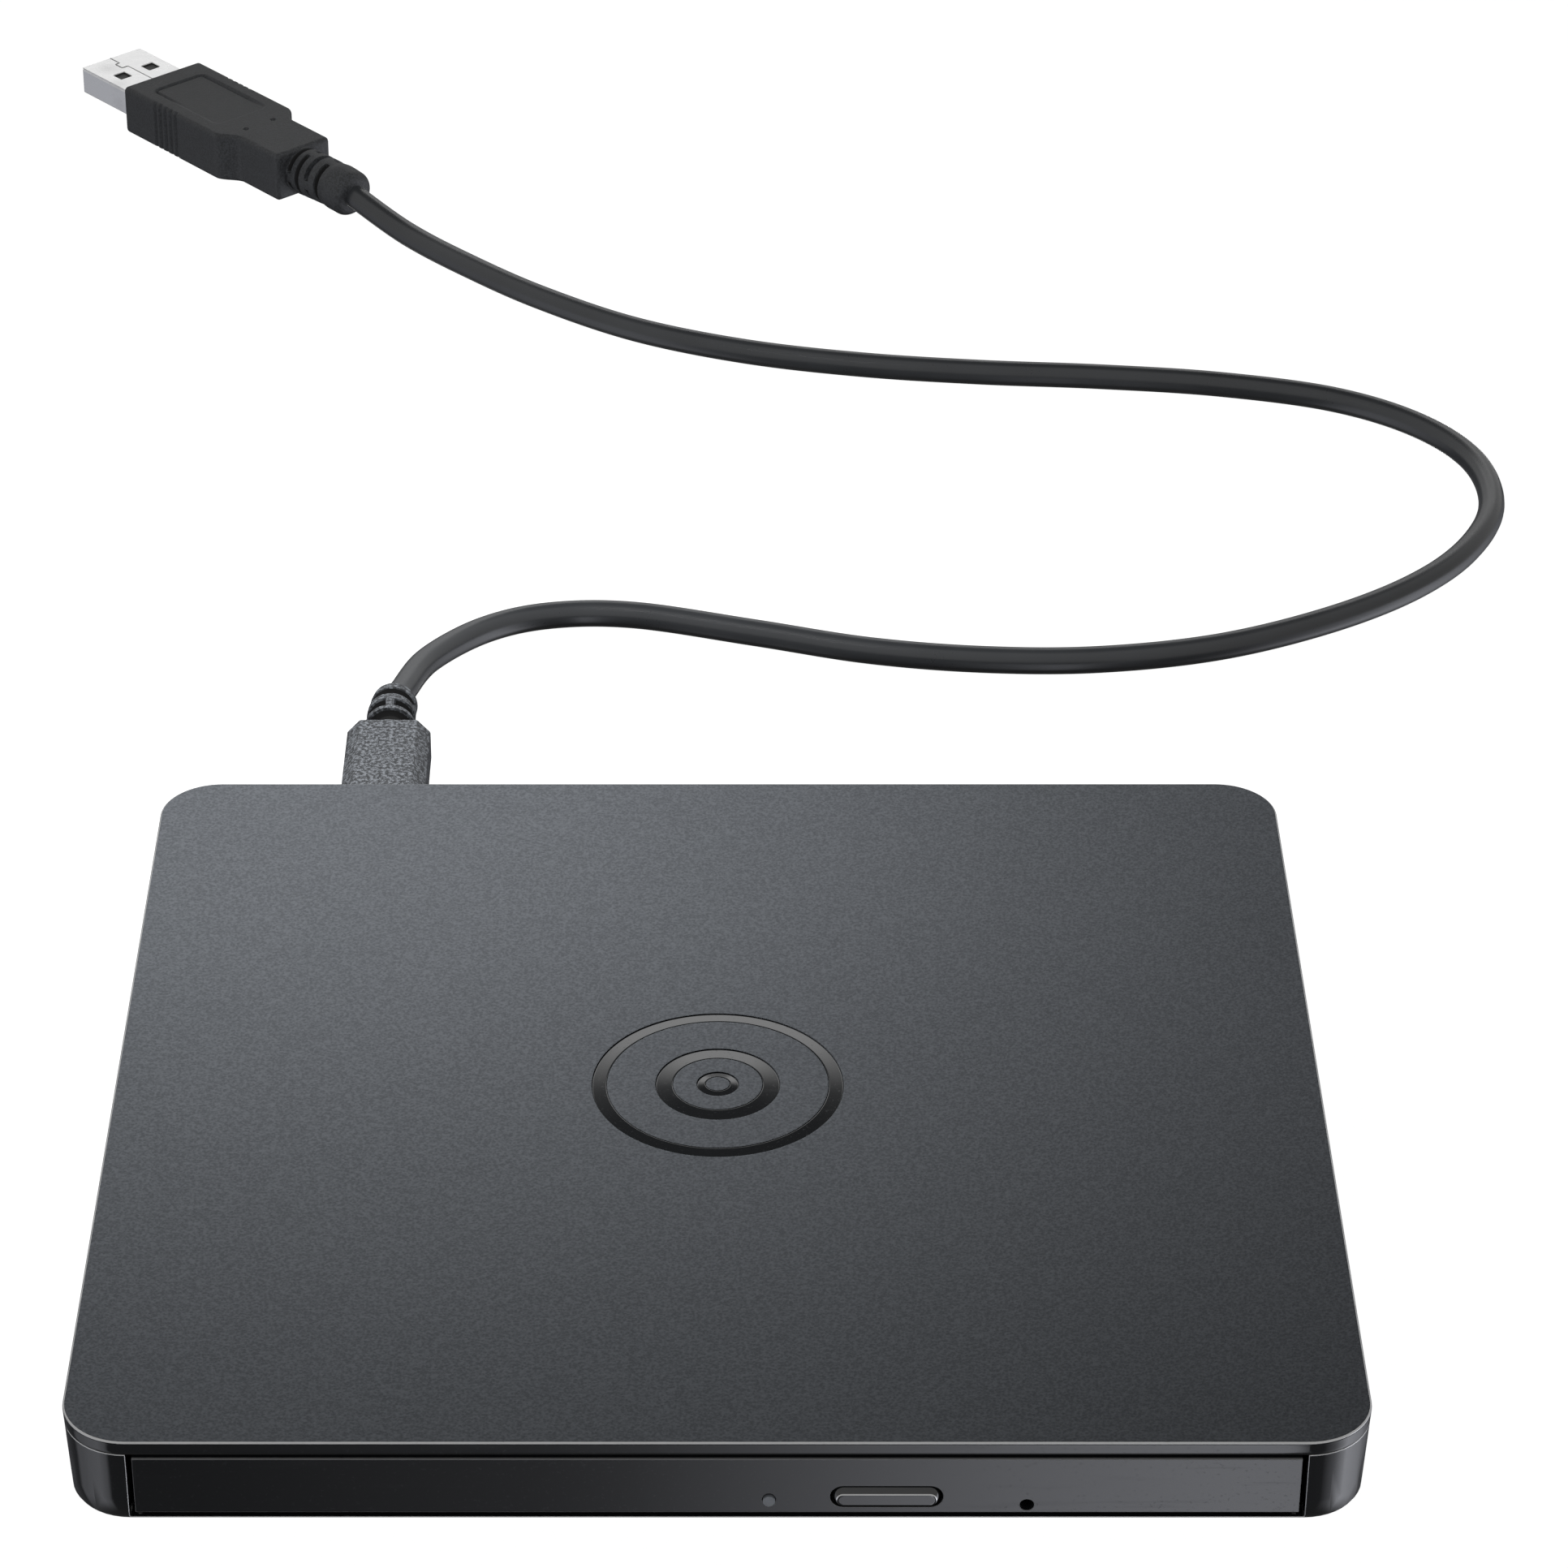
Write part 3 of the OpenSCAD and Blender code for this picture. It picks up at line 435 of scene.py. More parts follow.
def brushed(colour, dark, rough, stretch=(1.0, 40.0, 40.0)):
    # rolled sheet: long fine lines, spangle and a few rubbed patches
    def build(p):
        lines = p.noise(60, 5, 0.65, p.scaled(stretch))
        spangle = p.cells(160)
        rub = p.noise(28, 3)
        return {
            "Base Color": p.mixed(lines * 0.6 + spangle * 1.4 + rub * 0.2, dark, colour),
            "Roughness": rough + lines * 0.14 + rub * 0.08 - 0.08,
            "Bump": (lines, 0.000004),
        }
    return build


def castSkin(p):
    grain = p.noise(1700, 4, 0.7)
    stain = p.noise(40, 3)
    return {
        "Base Color": p.mixed(stain * 0.6 + grain * 0.4, grey(0.30), grey(0.56)),
        "Roughness": 0.36 + grain * 0.2,
        "Bump": (grain, 0.000015),
    }


def sintered(p):
    pores = p.between(p.cells(4200), 0.15, 0.5)
    return {
        "Base Color": p.mixed(pores, (0.20, 0.12, 0.05, 1), (0.58, 0.38, 0.16, 1)),
        "Roughness": 0.55 - pores * 0.2,
        "Bump": (pores, 0.00001),
    }


def goldPlate(p):
    wear = p.between(p.noise(1600, 3), 0.5, 0.8)
    return {
        "Base Color": p.mixed(wear, (0.86, 0.62, 0.20, 1), (0.60, 0.46, 0.26, 1)),
        "Roughness": 0.16 + wear * 0.2,
        "Bump": (wear, 0.000003),
    }


def boardMask(p):
    # solder mask over copper lines, with plated holes at cell centres
    lines = (p.axis(0) * 1400.0 + p.noise(260, 1) * 6.0).maths("SINE")
    copper = p.between(lines, 0.2, 0.5)
    hole = p.cells(520) < 0.16
    ringed = p.cells(520) < 0.28
    green = p.mixed(copper, (0.008, 0.10, 0.035, 1), (0.020, 0.22, 0.075, 1))
    plated = p.mixed(ringed, green, (0.70, 0.55, 0.25, 1))
    return {
        "Base Color": p.mixed(hole, plated, grey(0.01)),
        "Roughness": 0.22 + p.noise(900, 2) * 0.16,
        "Metallic": ringed * 0.8,
        "Bump": (copper - hole * 2.0, 0.00001),
    }


def filmCable(p):
    # amber film with copper tracks along Y
    tracks = p.between((p.axis(0) * 6283.0).maths("SINE"), -0.1, 0.3)
    return {
        "Base Color": p.mixed(tracks, (0.30, 0.12, 0.02, 1), (0.62, 0.27, 0.06, 1)),
        "Roughness": 0.22 + p.noise(700, 2) * 0.15,
        "Bump": (tracks, 0.000012),
    }


def windings(p):
    # enamelled wire, one rounded turn beside the other
    turns = p.between((p.axis(1) * 31000.0).maths("SINE"), -0.8, 0.9)
    return {
        "Base Color": p.mixed(turns, (0.10, 0.03, 0.01, 1), (0.55, 0.22, 0.09, 1)),
        "Roughness": 0.2 + p.noise(800, 2) * 0.2,
        "Bump": (turns, 0.00002),
    }


def acetal(p):
    cloud = p.noise(120, 3)
    return {
        "Base Color": p.mixed(cloud, (0.66, 0.65, 0.60, 1), (0.82, 0.81, 0.76, 1)),
        "Roughness": 0.32 + p.noise(1500, 2) * 0.2,
        "Bump": (p.noise(2200, 3), 0.000006),
    }


def foil(p):
    lines = p.noise(90, 4, 0.6, p.scaled((1.0, 30.0, 1.0)))
    crease = p.between(p.noise(70, 2), 0.5, 0.56)
    return {
        "Base Color": p.mixed(lines, grey(0.42), grey(0.62)),
        "Roughness": 0.30 + lines * 0.16,
        "Bump": (crease + lines * 0.2, 0.000008),
    }


def pipeGrey(p):
    cloud = p.noise(1500, 3)
    return {
        "Base Color": p.mixed(cloud, grey(0.80, coolTint), grey(0.92, coolTint)),
        "Roughness": 0.25 + cloud * 0.15,
        "Bump": (cloud, 0.000006),
    }


def coatedGlass(p):
    tint = p.noise(300, 2)
    haze = p.noise(900, 2)
    return {
        "Base Color": p.mixed(tint, (0.35, 0.42, 0.75, 1), (0.80, 0.55, 0.85, 1)),
        "Roughness": 0.03 + haze * 0.03,
    }


def jacket(p):
    # smooth extruded jacket: fine drawn lines and slight matting
    cloud = p.noise(90, 3)
    grain = p.noise(1800, 3)
    return {
        "Base Color": p.mixed(cloud, grey(0.013, coolTint), grey(0.022, coolTint)),
        "Roughness": 0.22 + cloud * 0.08 + grain * 0.06,
        "Bump": (grain * 0.5 + cloud, 0.000006),
    }


print("finishes")
finishes = {
    "lid_plastic": finish("lidPlastic", leatherGrain, IOR=1.04),
    "gloss_black": finish("glossBlack", polish),
    "tray_plastic": finish("trayPlastic", sparkGrain(grey(0.012), grey(0.030), 0.42)),
    "rubber": finish("blackRubber", rubberSkin),
    "steel": finish("sheetSteel", brushed(grey(0.66), grey(0.44), 0.30), Metallic=1.0),
    "bright_steel": finish(
        "nickelSteel", brushed(grey(0.76), grey(0.54), 0.26, (6.0, 30.0, 30.0)), Metallic=1.0),
    "die_cast": finish("dieCast", castSkin, Metallic=1.0),
    "bronze": finish("sinteredBronze", sintered, Metallic=1.0),
    "contact_gold": finish("contactGold", goldPlate, Metallic=1.0),
    "board": finish("boardGreen", boardMask),
    "chip_black": finish("chipBlack", sparkGrain(grey(0.014), grey(0.034), 0.5, 3200, 0.000008)),
    "flex_amber": finish("filmCable", filmCable),
    "white_plastic": finish("whiteAcetal", acetal),
    "smoke_pipe": finish("smokePipe", pipeGrey),
    "label_foil": finish("labelFoil", foil, Metallic=0.85),
    "coil": finish("coilWinding", windings),
    "lens_glass": finish("coatedGlass", coatedGlass, Transmission_Weight=0.6, IOR=1.5),
    "lead_pvc": finish("leadJacket", jacket, Sheen_Weight=0.8, Sheen_Roughness=0.2),
    "plug_pvc": finish("plugSkin", speckle(grey(0.008, coolTint), grey(0.032, coolTint), 0.55)),
}
# looks that no slot of the record names
finishes |= {
    # the next two finishes paint highlight lines on rounded edges, a bright one and a dim one
    "rubbed_edge": finish("rubbedEdge", rubbedEdge(grey(0.56), grey(0.42)), Metallic=0.9),
    "dull_edge": finish("dimPaintedHighlightEdge", rubbedEdge(grey(0.15), grey(0.10)), Metallic=0.9),
    "button_gloss": finish("buttonGloss", polish, IOR=1.62),
    "badge_gloss": finish("badgeGloss", lambda p: polish(p, 0.005, 0.016)),
    # near-black finish for the slot floors of the strain reliefs: painted shade in the recesses
    "slot_depth": finish("shadedSlotDepth", sparkGrain(grey(0.004), grey(0.007), 0.8)),
    "mini_pvc": finish(
        "miniPlugSkin", speckle(grey(0.010, coolTint), grey(0.105, coolTint), 0.55, 2000)),
}


def dress(piece, slot, body, *nodes, look=None):
    # gives a new piece its finish, its body and the CAD nodes that it stands for
    piece.data.materials.clear()
    piece.data.materials.append(finishes[look or slot])
    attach(piece, body)
    if nodes:
        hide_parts(*nodes)
    return piece


def faceCentres(piece):
    centres = np.zeros(len(piece.data.polygons) * 3)
    piece.data.polygons.foreach_get("center", centres)
    return centres.reshape(-1, 3)


def chooseLooks(piece, choice, *looks):
    # adds finishes behind the piece's first one and picks one for each face by its number
    for look in looks:
        piece.data.materials.append(finishes[look])
    piece.data.polygons.foreach_set("material_index", choice.astype(np.int32))


# CAD nodes that stay take the finish of their slot
for part in frame["record"]["subparts"]:
    node = frame["nodes"][part["node"]]
    node.data.materials.clear()
    node.data.materials.append(finishes[part["material_slot"]])


print("lead")


def makeLead(facts):
    # a round tube of one radius along the smooth route
    path = smoothRoute(facts["route"], facts["stepsPerStretch"])
    half = facts["diameter"] / 2
    grid = sweptGrid(path, lambda s, a: half + 0 * s * a, facts["sides"])
    piece = dress(meshObject("lead", grid), "lead_pvc", "enclosure", "lead_tube")
    return piece, path


leadPiece, leadPath = makeLead(lead)


relief = {
    "mini": {"radii": (0.00365, 0.0031), "cuts": [(0.0008, 0.0039), (0.0049, 0.0067), (0.0081, 0.0097)],
             "collar": 0.0, "roundEnd": 0.0008, "bridge": 0.40},
    "flat": {"radii": (0.0039, 0.0036), "cuts": [(0.0003, 0.0012), (0.00235, 0.00325), (0.00475, 0.00565),
             (0.00725, 0.00815)], "collar": 0.00018, "roundEnd": 0.0014, "bridge": 0.50},
    "floor": 0.0022,
    "root": 0.0004,
    "slotEase": 0.00016,
    # depth in the slots beyond which faces take the painted shade
    "shadedSlotDepth": 0.00035,
    "collarStart": (0.0008, 0.0016),
    "steps": 170,
    "sides": 120,
}


def makeRelief(name, facts, start, way, end, endWay, look, *nodes):
    # a tapering sleeve; slots are cut in turn over and under it and in its sides, bridges stay between
    length = float(np.linalg.norm(np.subtract(end, start)))
    path = bend(start, np.multiply(way, length), end, np.multiply(endWay, length), relief["steps"])
    wide, narrow = facts["radii"]
    floor = relief["floor"]
    lastCut = facts["cuts"][-1][1] + relief["root"]
    collarAfter, collarEase = relief["collarStart"]

    def radius(s, angle):
        share = np.clip(s / length, 0, 1)
        skin = wide + (narrow - wide) * share + 0 * angle
        skin = skin + facts["collar"] * step(s, lastCut + collarAfter, collarEase)
        ending = np.clip((s - length + facts["roundEnd"]) / facts["roundEnd"], 0, 1)
        skin = skin - facts["roundEnd"] * (1 - np.sqrt(1 - ending**2 * 0.96))
        for turn, (low, high) in enumerate(facts["cuts"]):
            cut = band(s, low + relief["root"], high + relief["root"], relief["slotEase"])
            fromSide = np.abs((angle + math.pi / 2) % math.pi - math.pi / 2)
            away = fromSide if turn % 2 == 0 else math.pi / 2 - fromSide
            cut = cut * step(away, facts["bridge"] * 0.5, 0.10)
            skin = skin + (floor - skin) * cut
        return skin

    grid = sweptGrid(path, radius, relief["sides"])
    piece = dress(meshObject(name, grid, sharp=50), "plug_pvc", "enclosure", *nodes, look=look)
    # faces deep in the slots take the near-black finish: painted shade in the recesses
    nearby = path[::2]
    fromPath = np.linalg.norm(faceCentres(piece)[:, None] - nearby[None], axis=-1)
    along = fromPath.argmin(axis=1)
    shadedSlotFaces = (fromPath.min(axis=1) < narrow - relief["shadedSlotDepth"]) & (along > 1) & (along < len(nearby) * 0.9)
    chooseLooks(piece, shadedSlotFaces, "slot_depth")
    return piece


route = np.asarray(lead["route"])
leadOut = (route[0] - route[1]) / np.linalg.norm(route[0] - route[1])
leadIn = (route[-1] - route[-2]) / np.linalg.norm(route[-1] - route[-2])


mini = {
    "centre": (-0.0443, 0.006),
    "front": 0.0691,
    "end": 0.0918,
    "half": (0.0056, 0.0040),
    "bevel": (0.00175, 0.0019),
    "edge": 0.00022,
}


def softCorners(polygon, radius, steps):
    # rounds each corner of rows of polygons with the parabola between two points near it
    before = np.roll(polygon, 1, axis=1) - polygon
    after = np.roll(polygon, -1, axis=1) - polygon
    lengthBefore = np.linalg.norm(before, axis=-1, keepdims=True) + 1e-12
    lengthAfter = np.linalg.norm(after, axis=-1, keepdims=True) + 1e-12
    reach = np.minimum(radius, 0.45 * np.minimum(lengthBefore, lengthAfter))
    start = polygon + before / lengthBefore * reach
    stop = polygon + after / lengthAfter * reach
    t = np.linspace(0, 1, steps)[:, None]
    first, corner, last = start[:, :, None], polygon[:, :, None], stop[:, :, None]
    rounded = (1 - t) ** 2 * first + 2 * t * (1 - t) * corner + t**2 * last
    return rounded.reshape(len(polygon), -1, 2)


def makeMiniBody(facts):
    # eight-sided bar along y, its corners scaled by 1 - pull / half height near both ends
    halfX, halfZ = facts["half"]
    flat, side = halfX - facts["bevel"][0], halfZ - facts["bevel"][1]
    edge = facts["edge"]
    front, end, steps = facts["front"], facts["end"], 40
    ease = edge * np.array([0, 0.3])
    y = np.concatenate([front + ease, np.linspace(front + edge, end - edge, steps), end - ease[::-1]])
    pull = np.concatenate([edge * np.array([1.0, 0.3]), np.zeros(steps), edge * np.array([0.3, 1.0])])
    corners = np.array([
        (halfX, -side), (halfX, side), (flat, halfZ), (-flat, halfZ),
        (-halfX, side), (-halfX, -side), (-flat, -halfZ), (flat, -halfZ)])
    polygon = corners[None] * (1 - pull[:, None, None] / halfZ)
    loops = softCorners(polygon, edge, 4)
    x = facts["centre"][0] + loops[..., 0]
    z = facts["centre"][1] + loops[..., 1]
    grid = np.stack([x, np.broadcast_to(y[:, None], x.shape), z], axis=-1)
    piece = meshObject("miniPlugBody", grid, sharp=24)
    return dress(piece, "plug_pvc", "enclosure", "mini_plug_body", look="mini_pvc")


print("plugs")
miniBody = makeMiniBody(mini)
miniStart = np.array([mini["centre"][0], mini["end"] - relief["root"], mini["centre"][1]])
miniRelief = makeRelief(
    "miniPlugRelief", relief["mini"], miniStart, (0, 1, 0), route[0] + leadOut * -0.0001, -leadOut,
    "mini_pvc", "mini_plug_relief")


plug = {
    "tip": (-0.1032, 0.3166, 0.00425),
    "turn": -48.4,
    "shellLength": 0.0143,
    "bodyLength": 0.0387,
    "half": (0.0079, 0.0041),
    "neckHalf": 0.0055,
    "shoulder": (0.0247, 0.0292),
    "edge": 0.0007,
    "panel": (0.0188, 0.0367, 0.0052),
    "panelDepth": 0.00016,
    "panelGroove": 0.0003,
    "grips": 5,
    "gripStart": 0.0230,
    "gripPitch": 0.0014,
    "gripDepth": 0.00045,
    "dots": (0.0413, 0.0028, 0.00038),
    "steps": 300,
}


def plugFrame(points):
    # the plug's own frame runs from its tip towards the lead
    turn = math.radians(plug["turn"])
    x = points[..., 0] * math.cos(turn) - points[..., 1] * math.sin(turn)
    y = points[..., 0] * math.sin(turn) + points[..., 1] * math.cos(turn)
    return np.stack([x, y, points[..., 2]], axis=-1) + np.array(plug["tip"])


def roundedPanel(x, y, low, high, half, corner):
    # distance outside a rounded rectangle, negative inside it
    qx = np.abs(x - (low + high) / 2) - (high - low) / 2 + corner
    qy = np.abs(y) - half + corner
    outside = np.hypot(np.maximum(qx, 0), np.maximum(qy, 0))
    return outside + np.minimum(np.maximum(qx, qy), 0) - corner


def makePlugBody(facts):
    # rounded rectangles along x: the half width narrows by a smooth step at the shoulder, the top sinks by
    # the panel, its groove and the dots, and the sides are drawn in by one band for each grip
    halfY, halfZ = facts["half"]
    front = facts["shellLength"]
    length = facts["bodyLength"]
    edge = facts["edge"]
    ramp = np.linspace(0, math.pi / 2, 6)
    ease, draw = edge * (1 - np.cos(ramp[:-1])), edge * (1 - np.sin(ramp[:-1]))
    along = np.concatenate([ease, np.linspace(edge, length - edge, facts["steps"]), length - ease[::-1]])
    pull = np.concatenate([draw, np.zeros(facts["steps"]), draw[::-1]])
    shoulder = np.clip((along - facts["shoulder"][0]) / (facts["shoulder"][1] - facts["shoulder"][0]), 0, 1)
    shoulder = shoulder * shoulder * (3 - 2 * shoulder)
    half = halfY + (facts["neckHalf"] - halfY) * shoulder - pull
    sign, direction = loopShape(6, 72)
    core = np.stack([half - edge, halfZ - pull - edge], axis=-1)
    loops = sign * core[:, None] + edge * direction
    y = loops[..., 0]
    z = loops[..., 1]
    x = np.broadcast_to((front + along)[:, None], y.shape)
    panel = roundedPanel(x, y, *facts["panel"], 0.0014)
    inPanel = 1 - step(panel, 0, 0.00022)
    farSide = step(y * 0.9 - x + facts["panel"][0] * 1.1 + 0.004, -0.0045, 0.006)
    line = band(panel, -0.00042, 0.0, 0.00014) * farSide
    dots = step(-np.hypot(x - facts["dots"][0], np.abs(y) - facts["dots"][1]), -facts["dots"][2], 0.00025)
    topFace = (direction[:, 1] > 0.999) * np.ones_like(y)
    z = z - topFace * (inPanel * facts["panelDepth"] + line * facts["panelGroove"] + dots * 0.0006)
    phase = (x - facts["gripStart"]) / facts["gripPitch"] + 0.5
    inGrips = (phase > 0) & (phase < facts["grips"])
    notch = band(phase % 1, 0.27, 0.73, 0.2) * inGrips
    sideFace = np.abs(direction[:, 0])
    y = y - np.sign(y) * notch * facts["gripDepth"] * sideFace
    grid = plugFrame(np.stack([x, y, z], axis=-1))
    return dress(meshObject("flatPlugBody", grid, sharp=60), "plug_pvc", "enclosure", "usb_plug_body")


plugBody = makePlugBody(plug)
plugEnd = plugFrame(np.array([plug["shellLength"] + plug["bodyLength"] - 0.0004, 0, 0]))
plugWay = plugFrame(np.array([1.0, 0, 0])) - np.array(plug["tip"])
plugRelief = makeRelief(
    "flatPlugRelief", relief["flat"], plugEnd, plugWay, route[-1] + leadIn * -0.0001, -leadIn,
    "plug_pvc", "usb_plug_relief")
plugShell = dress(
    softened("flatPlugShell", "usb_plug_shell", 0.00012), "bright_steel", "enclosure", "usb_plug_shell")


print("case")
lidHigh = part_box("top_cover")[1]
case = {
    "core": (lidHigh.x - 0.0075, lidHigh.y - 0.0075),
    "cornerRadius": 0.0075,
    "lean": 3.0,
    "edgeHeight": 0.0138,
    "top": lidHigh.z,
    "seam": 0.01225,
    "under": 0.0127,
    "lip": (0.00285, 0.00175),
    "lipEnd": 0.0112,
    "edge": 0.00028,
    "opening": 0.06625,
    "steps": (18, 44),
}
badge = {
    "ring": (0.015, 0.0017),
    "mark": [(0.0074, 0.002), (0.0074 / 3, 0.001)],
    "gap": 0.00005,
    "floor": 0.0136,
    "edge": 0.00007,
    "tilt": 0.00009,
}


def inset(z):
    # the side leans in below its upper edge by drop * tan(lean)
    return (case["edgeHeight"] - z) * math.tan(math.radians(case["lean"]))


def grooveRows(outer, width, top):
    # (radius, height) pairs of one ring-shaped groove with eased rims, from the outside in
    gap, edge, floor = badge["gap"], badge["edge"], badge["floor"]
    out, into = outer + gap, outer - width - gap
    flat = 0.0002  # a flat row beside the rim keeps the shading of the rim off the lid
    rim = [(edge + flat, 0), (edge, 0), (edge * 0.3, edge * 0.3), (0, edge), (0, top - floor)]
    return [(out + away, top - down) for away, down in rim] + [
        (into - away, top - down) for away, down in reversed(rim)]


def makeLid(facts):
    # from under the lid, round its lip and rim, up the side, over the edge and in to the middle
    shape = loopShape(*facts["steps"])
    top, seam, edge = facts["top"], facts["seam"], facts["edge"]
    arc = np.linspace(0, math.pi / 2, 7)
    inner, outer, end, ease = *facts["lip"], facts["lipEnd"], 0.0001
    rows = [
        (inner, facts["under"]), (inner, end + ease), (inner - ease, end), (outer + ease, end),
        (outer, end + ease), (outer, seam)]
    foot = inset(seam)
    rows += [(foot + ease, seam), (foot + ease * 0.3, seam + ease * 0.3), (foot, seam + ease)]
    rows += [(inset(z), z) for z in np.linspace(seam + 0.0004, top - edge - 0.0001, 4)]
    rows += [(edge * (1 - math.cos(a)), top - edge + edge * math.sin(a)) for a in arc]
    rows += [(edge + 0.0002, top), (edge + 0.004, top)]
    insets, heights = np.array(rows).T
    loops = withHeight(roundedRows(shape, facts["core"], facts["cornerRadius"] - insets), heights)
    front = (loops[..., 1] < -0.06) & (np.abs(loops[..., 0]) < facts["opening"])
    low = front & (loops[..., 2] < seam)
    loops[..., 2] = np.where(low, seam, loops[..., 2])
    angle = np.arctan2(loops[-1, :, 1], loops[-1, :, 0])
    circles = []
    for outer, width in [badge["ring"]] + badge["mark"]:
        circles += grooveRows(outer, width, top)
    radius, height = np.array(circles).T
    x = radius[:, None] * np.cos(angle)
    y = radius[:, None] * np.sin(angle)
    middleRows = np.stack([x, y, np.broadcast_to(height[:, None], x.shape)], axis=-1)
    grid = np.concatenate([loops, middleRows])
    piece = dress(meshObject("lid", grid, sharp=35), "lid_plastic", "enclosure", "top_cover")
    x, y, height = faceCentres(piece).T
    inBadge = np.hypot(x, y) < badge["ring"][0] + 0.001
    glossy = (height < top - edge * 0.95) & ~inBadge
    # the upper part of the rounded rim takes the painted highlight edge finish
    highlightRim = (height >= top - edge * 0.72) & (height < top - edge * 0.02) & ~inBadge
    chooseLooks(piece, np.where(highlightRim, 2, np.where(glossy, 1, 0)), "gloss_black", "rubbed_edge")
    return piece


def makeInlay(name, bands, *nodes):
    # bands that fall a little towards their outer rim, with eased corners
    low, top, edge, tilt = badge["floor"] + 0.00002, case["top"] - 0.00003, badge["edge"], badge["tilt"]
    pieces = []
    for i, (outer, width) in enumerate(bands):
        inner = outer - width
        profile = [
            (outer, low), (outer, top - tilt - edge), (outer - edge * 0.3, top - tilt - edge * 0.3),
            (outer - edge, top - tilt), (outer - edge * 2, top - tilt * (1 - edge / width)),
            (outer - width * 0.5, top - tilt * 0.5),
            (inner + edge * 2, top - tilt * edge / width), (inner + edge, top),
            (inner + edge * 0.3, top - edge * 0.3), (inner, top - edge), (inner, low),
        ]
        piece = meshObject(name + ("" if i == 0 else str(i)), lathe(profile, 180), wrapRows=True)
        pieces.append(dress(piece, "gloss_black", "enclosure", *nodes, look="badge_gloss"))
    return pieces


makeLid(case)
makeInlay("badgeRing", [badge["ring"]], "badge_ring")
makeInlay("badgeMark", badge["mark"], "badge_mark")
# the rounded edges of the lower case take the bright painted highlight finish, those of the bezel the dim
# one
lowerCase = dress(
    softened("lowerCase", "bottom_cover", 0.00011, edgeFinish=True),
    "gloss_black", "enclosure", "bottom_cover")
lowerCase.data.materials.append(finishes["rubbed_edge"])
bezel = dress(
    softened("bezel", "tray_bezel", 0.00007, edgeFinish=True), "gloss_black", "tray", "tray_bezel")
bezel.data.materials.append(finishes["dull_edge"])


print("button and feet")
buttonLow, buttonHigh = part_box("eject_button")
button = {
    "centre": ((buttonLow.x + buttonHigh.x) / 2, (buttonLow.z + buttonHigh.z) / 2),
    "half": (0.0059, 0.00115),
    "flange": 0.0017,
    "front": buttonLow.y,
    "neck": -0.0663,
    "back": -0.0657,
    "faceRadius": 0.00068,
    "drop": 0.00028,
    "slope": 0.00065,
}


def makeButton(facts):
    # round-ended bar: flange, shaft, a slope that is wide above and narrow below, an edge whose upper part
    # carries a painted highlight, flat face;
    # each row is (radius, depth, height above the middle), and the face sits low on the bar
    radius, faceRadius, drop = facts["half"][1], facts["faceRadius"], facts["drop"]
    core = (facts["half"][0] - radius, 0.0)
    front, neck, flange = facts["front"], facts["neck"], facts["flange"]
    rows = [
        (flange - 0.0001, facts["back"], 0), (flange, facts["back"] - 0.0001, 0),
        (flange, neck + 0.0001, 0), (flange - 0.0001, neck, 0),
        (radius + 0.00008, neck, 0), (radius, neck - 0.00008, 0),
        (radius, front + facts["slope"], 0), (radius - 0.00003, front + facts["slope"] - 0.00004, 0),
        (faceRadius + 0.00012, front + 0.00011, -drop), (faceRadius, front + 0.00002, -drop),
        (faceRadius - 0.0001, front, -drop), (faceRadius - 0.0002, front, -drop),
    ]
    radii, depth, shift = np.array(rows).T
    loops = roundedRows(loopShape(16, 20), core, radii)
    x = facts["centre"][0] + loops[..., 0]
    z = facts["centre"][1] + loops[..., 1] + shift[:, None]
    grid = np.stack([x, np.broadcast_to(depth[:, None], x.shape), z], axis=-1)
    made = meshObject("ejectButton", grid, sharp=20)
    piece = dress(made, "gloss_black", "button", "eject_button", look="button_gloss")
    x, y, z = faceCentres(piece).T
    # the upper part of the edge round the face takes the painted highlight finish
    highlightFaces = (y > front + 0.00003) & (y < front + 0.0001) & (z > facts["centre"][1] - drop)
    chooseLooks(piece, highlightFaces, "rubbed_edge")
    return piece


makeButton(button)

feet = {"places": [(0.056, 0.052), (-0.056, 0.052), (0.056, -0.052), (-0.056, -0.052)], "radius": 0.005}


def makeFeet(facts):
    # turned pads with a rounded lower edge and a shallow dish
    edge = 0.0004
    arc = np.linspace(0, math.pi / 2, 6)
    r = facts["radius"]
    profile = [(r * 0.3, 0.00012), (r * 0.62, 0.00004), (r - edge - 0.0004, 0.0)]
    profile += [(r - edge + edge * math.sin(a), edge * (1 - math.cos(a))) for a in arc]
    profile += [(r, 0.0014), (r * 0.5, 0.0014)]
    for i, place in enumerate(facts["places"]):
        piece = meshObject("foot" + str(i + 1), lathe(profile, 64, place))
        dress(piece, "rubber", "enclosure", *(["rubber_feet"] if i == 0 else []))


makeFeet(feet)


print("studio")
studio = {
    "floorSize": 6.0,
    "floorGlow": 1.0,
    "floorPaint": 0.1,
    "fill": (0.14, 0.015),  # soft light on everything, from below and from above
    "lamp": {"place": (-0.060, 0.080, 0.174), "size": 0.08, "energy": 0.90},
    # what the gloss mirrors: overhead, in a strip behind by height, and below the horizon by direction
    "ceiling": 0.7,
    "behind": [(0.0, 0.6), (0.40, 0.7), (0.44, 2.1), (0.50, 2.1), (0.57, 0.25), (0.62, 0.04), (1.0, 0.04)],
    "cards": [
        (0.0, 0.08), (0.175, 0.06), (0.20, 0.40), (0.235, 0.55), (0.27, 0.8), (0.333, 1.2),
        (0.372, 0.9), (0.39, 0.12), (0.4775, 0.12), (0.495, 0.35), (0.502, 1.0), (0.512, 2.05),
        (0.522, 2.7), (0.527, 2.5), (0.532, 0.12), (0.60, 0.15), (0.66, 0.9), (0.73, 2.6),
        (0.79, 1.5), (0.86, 0.5), (0.93, 0.08), (1.0, 0.08)],
}


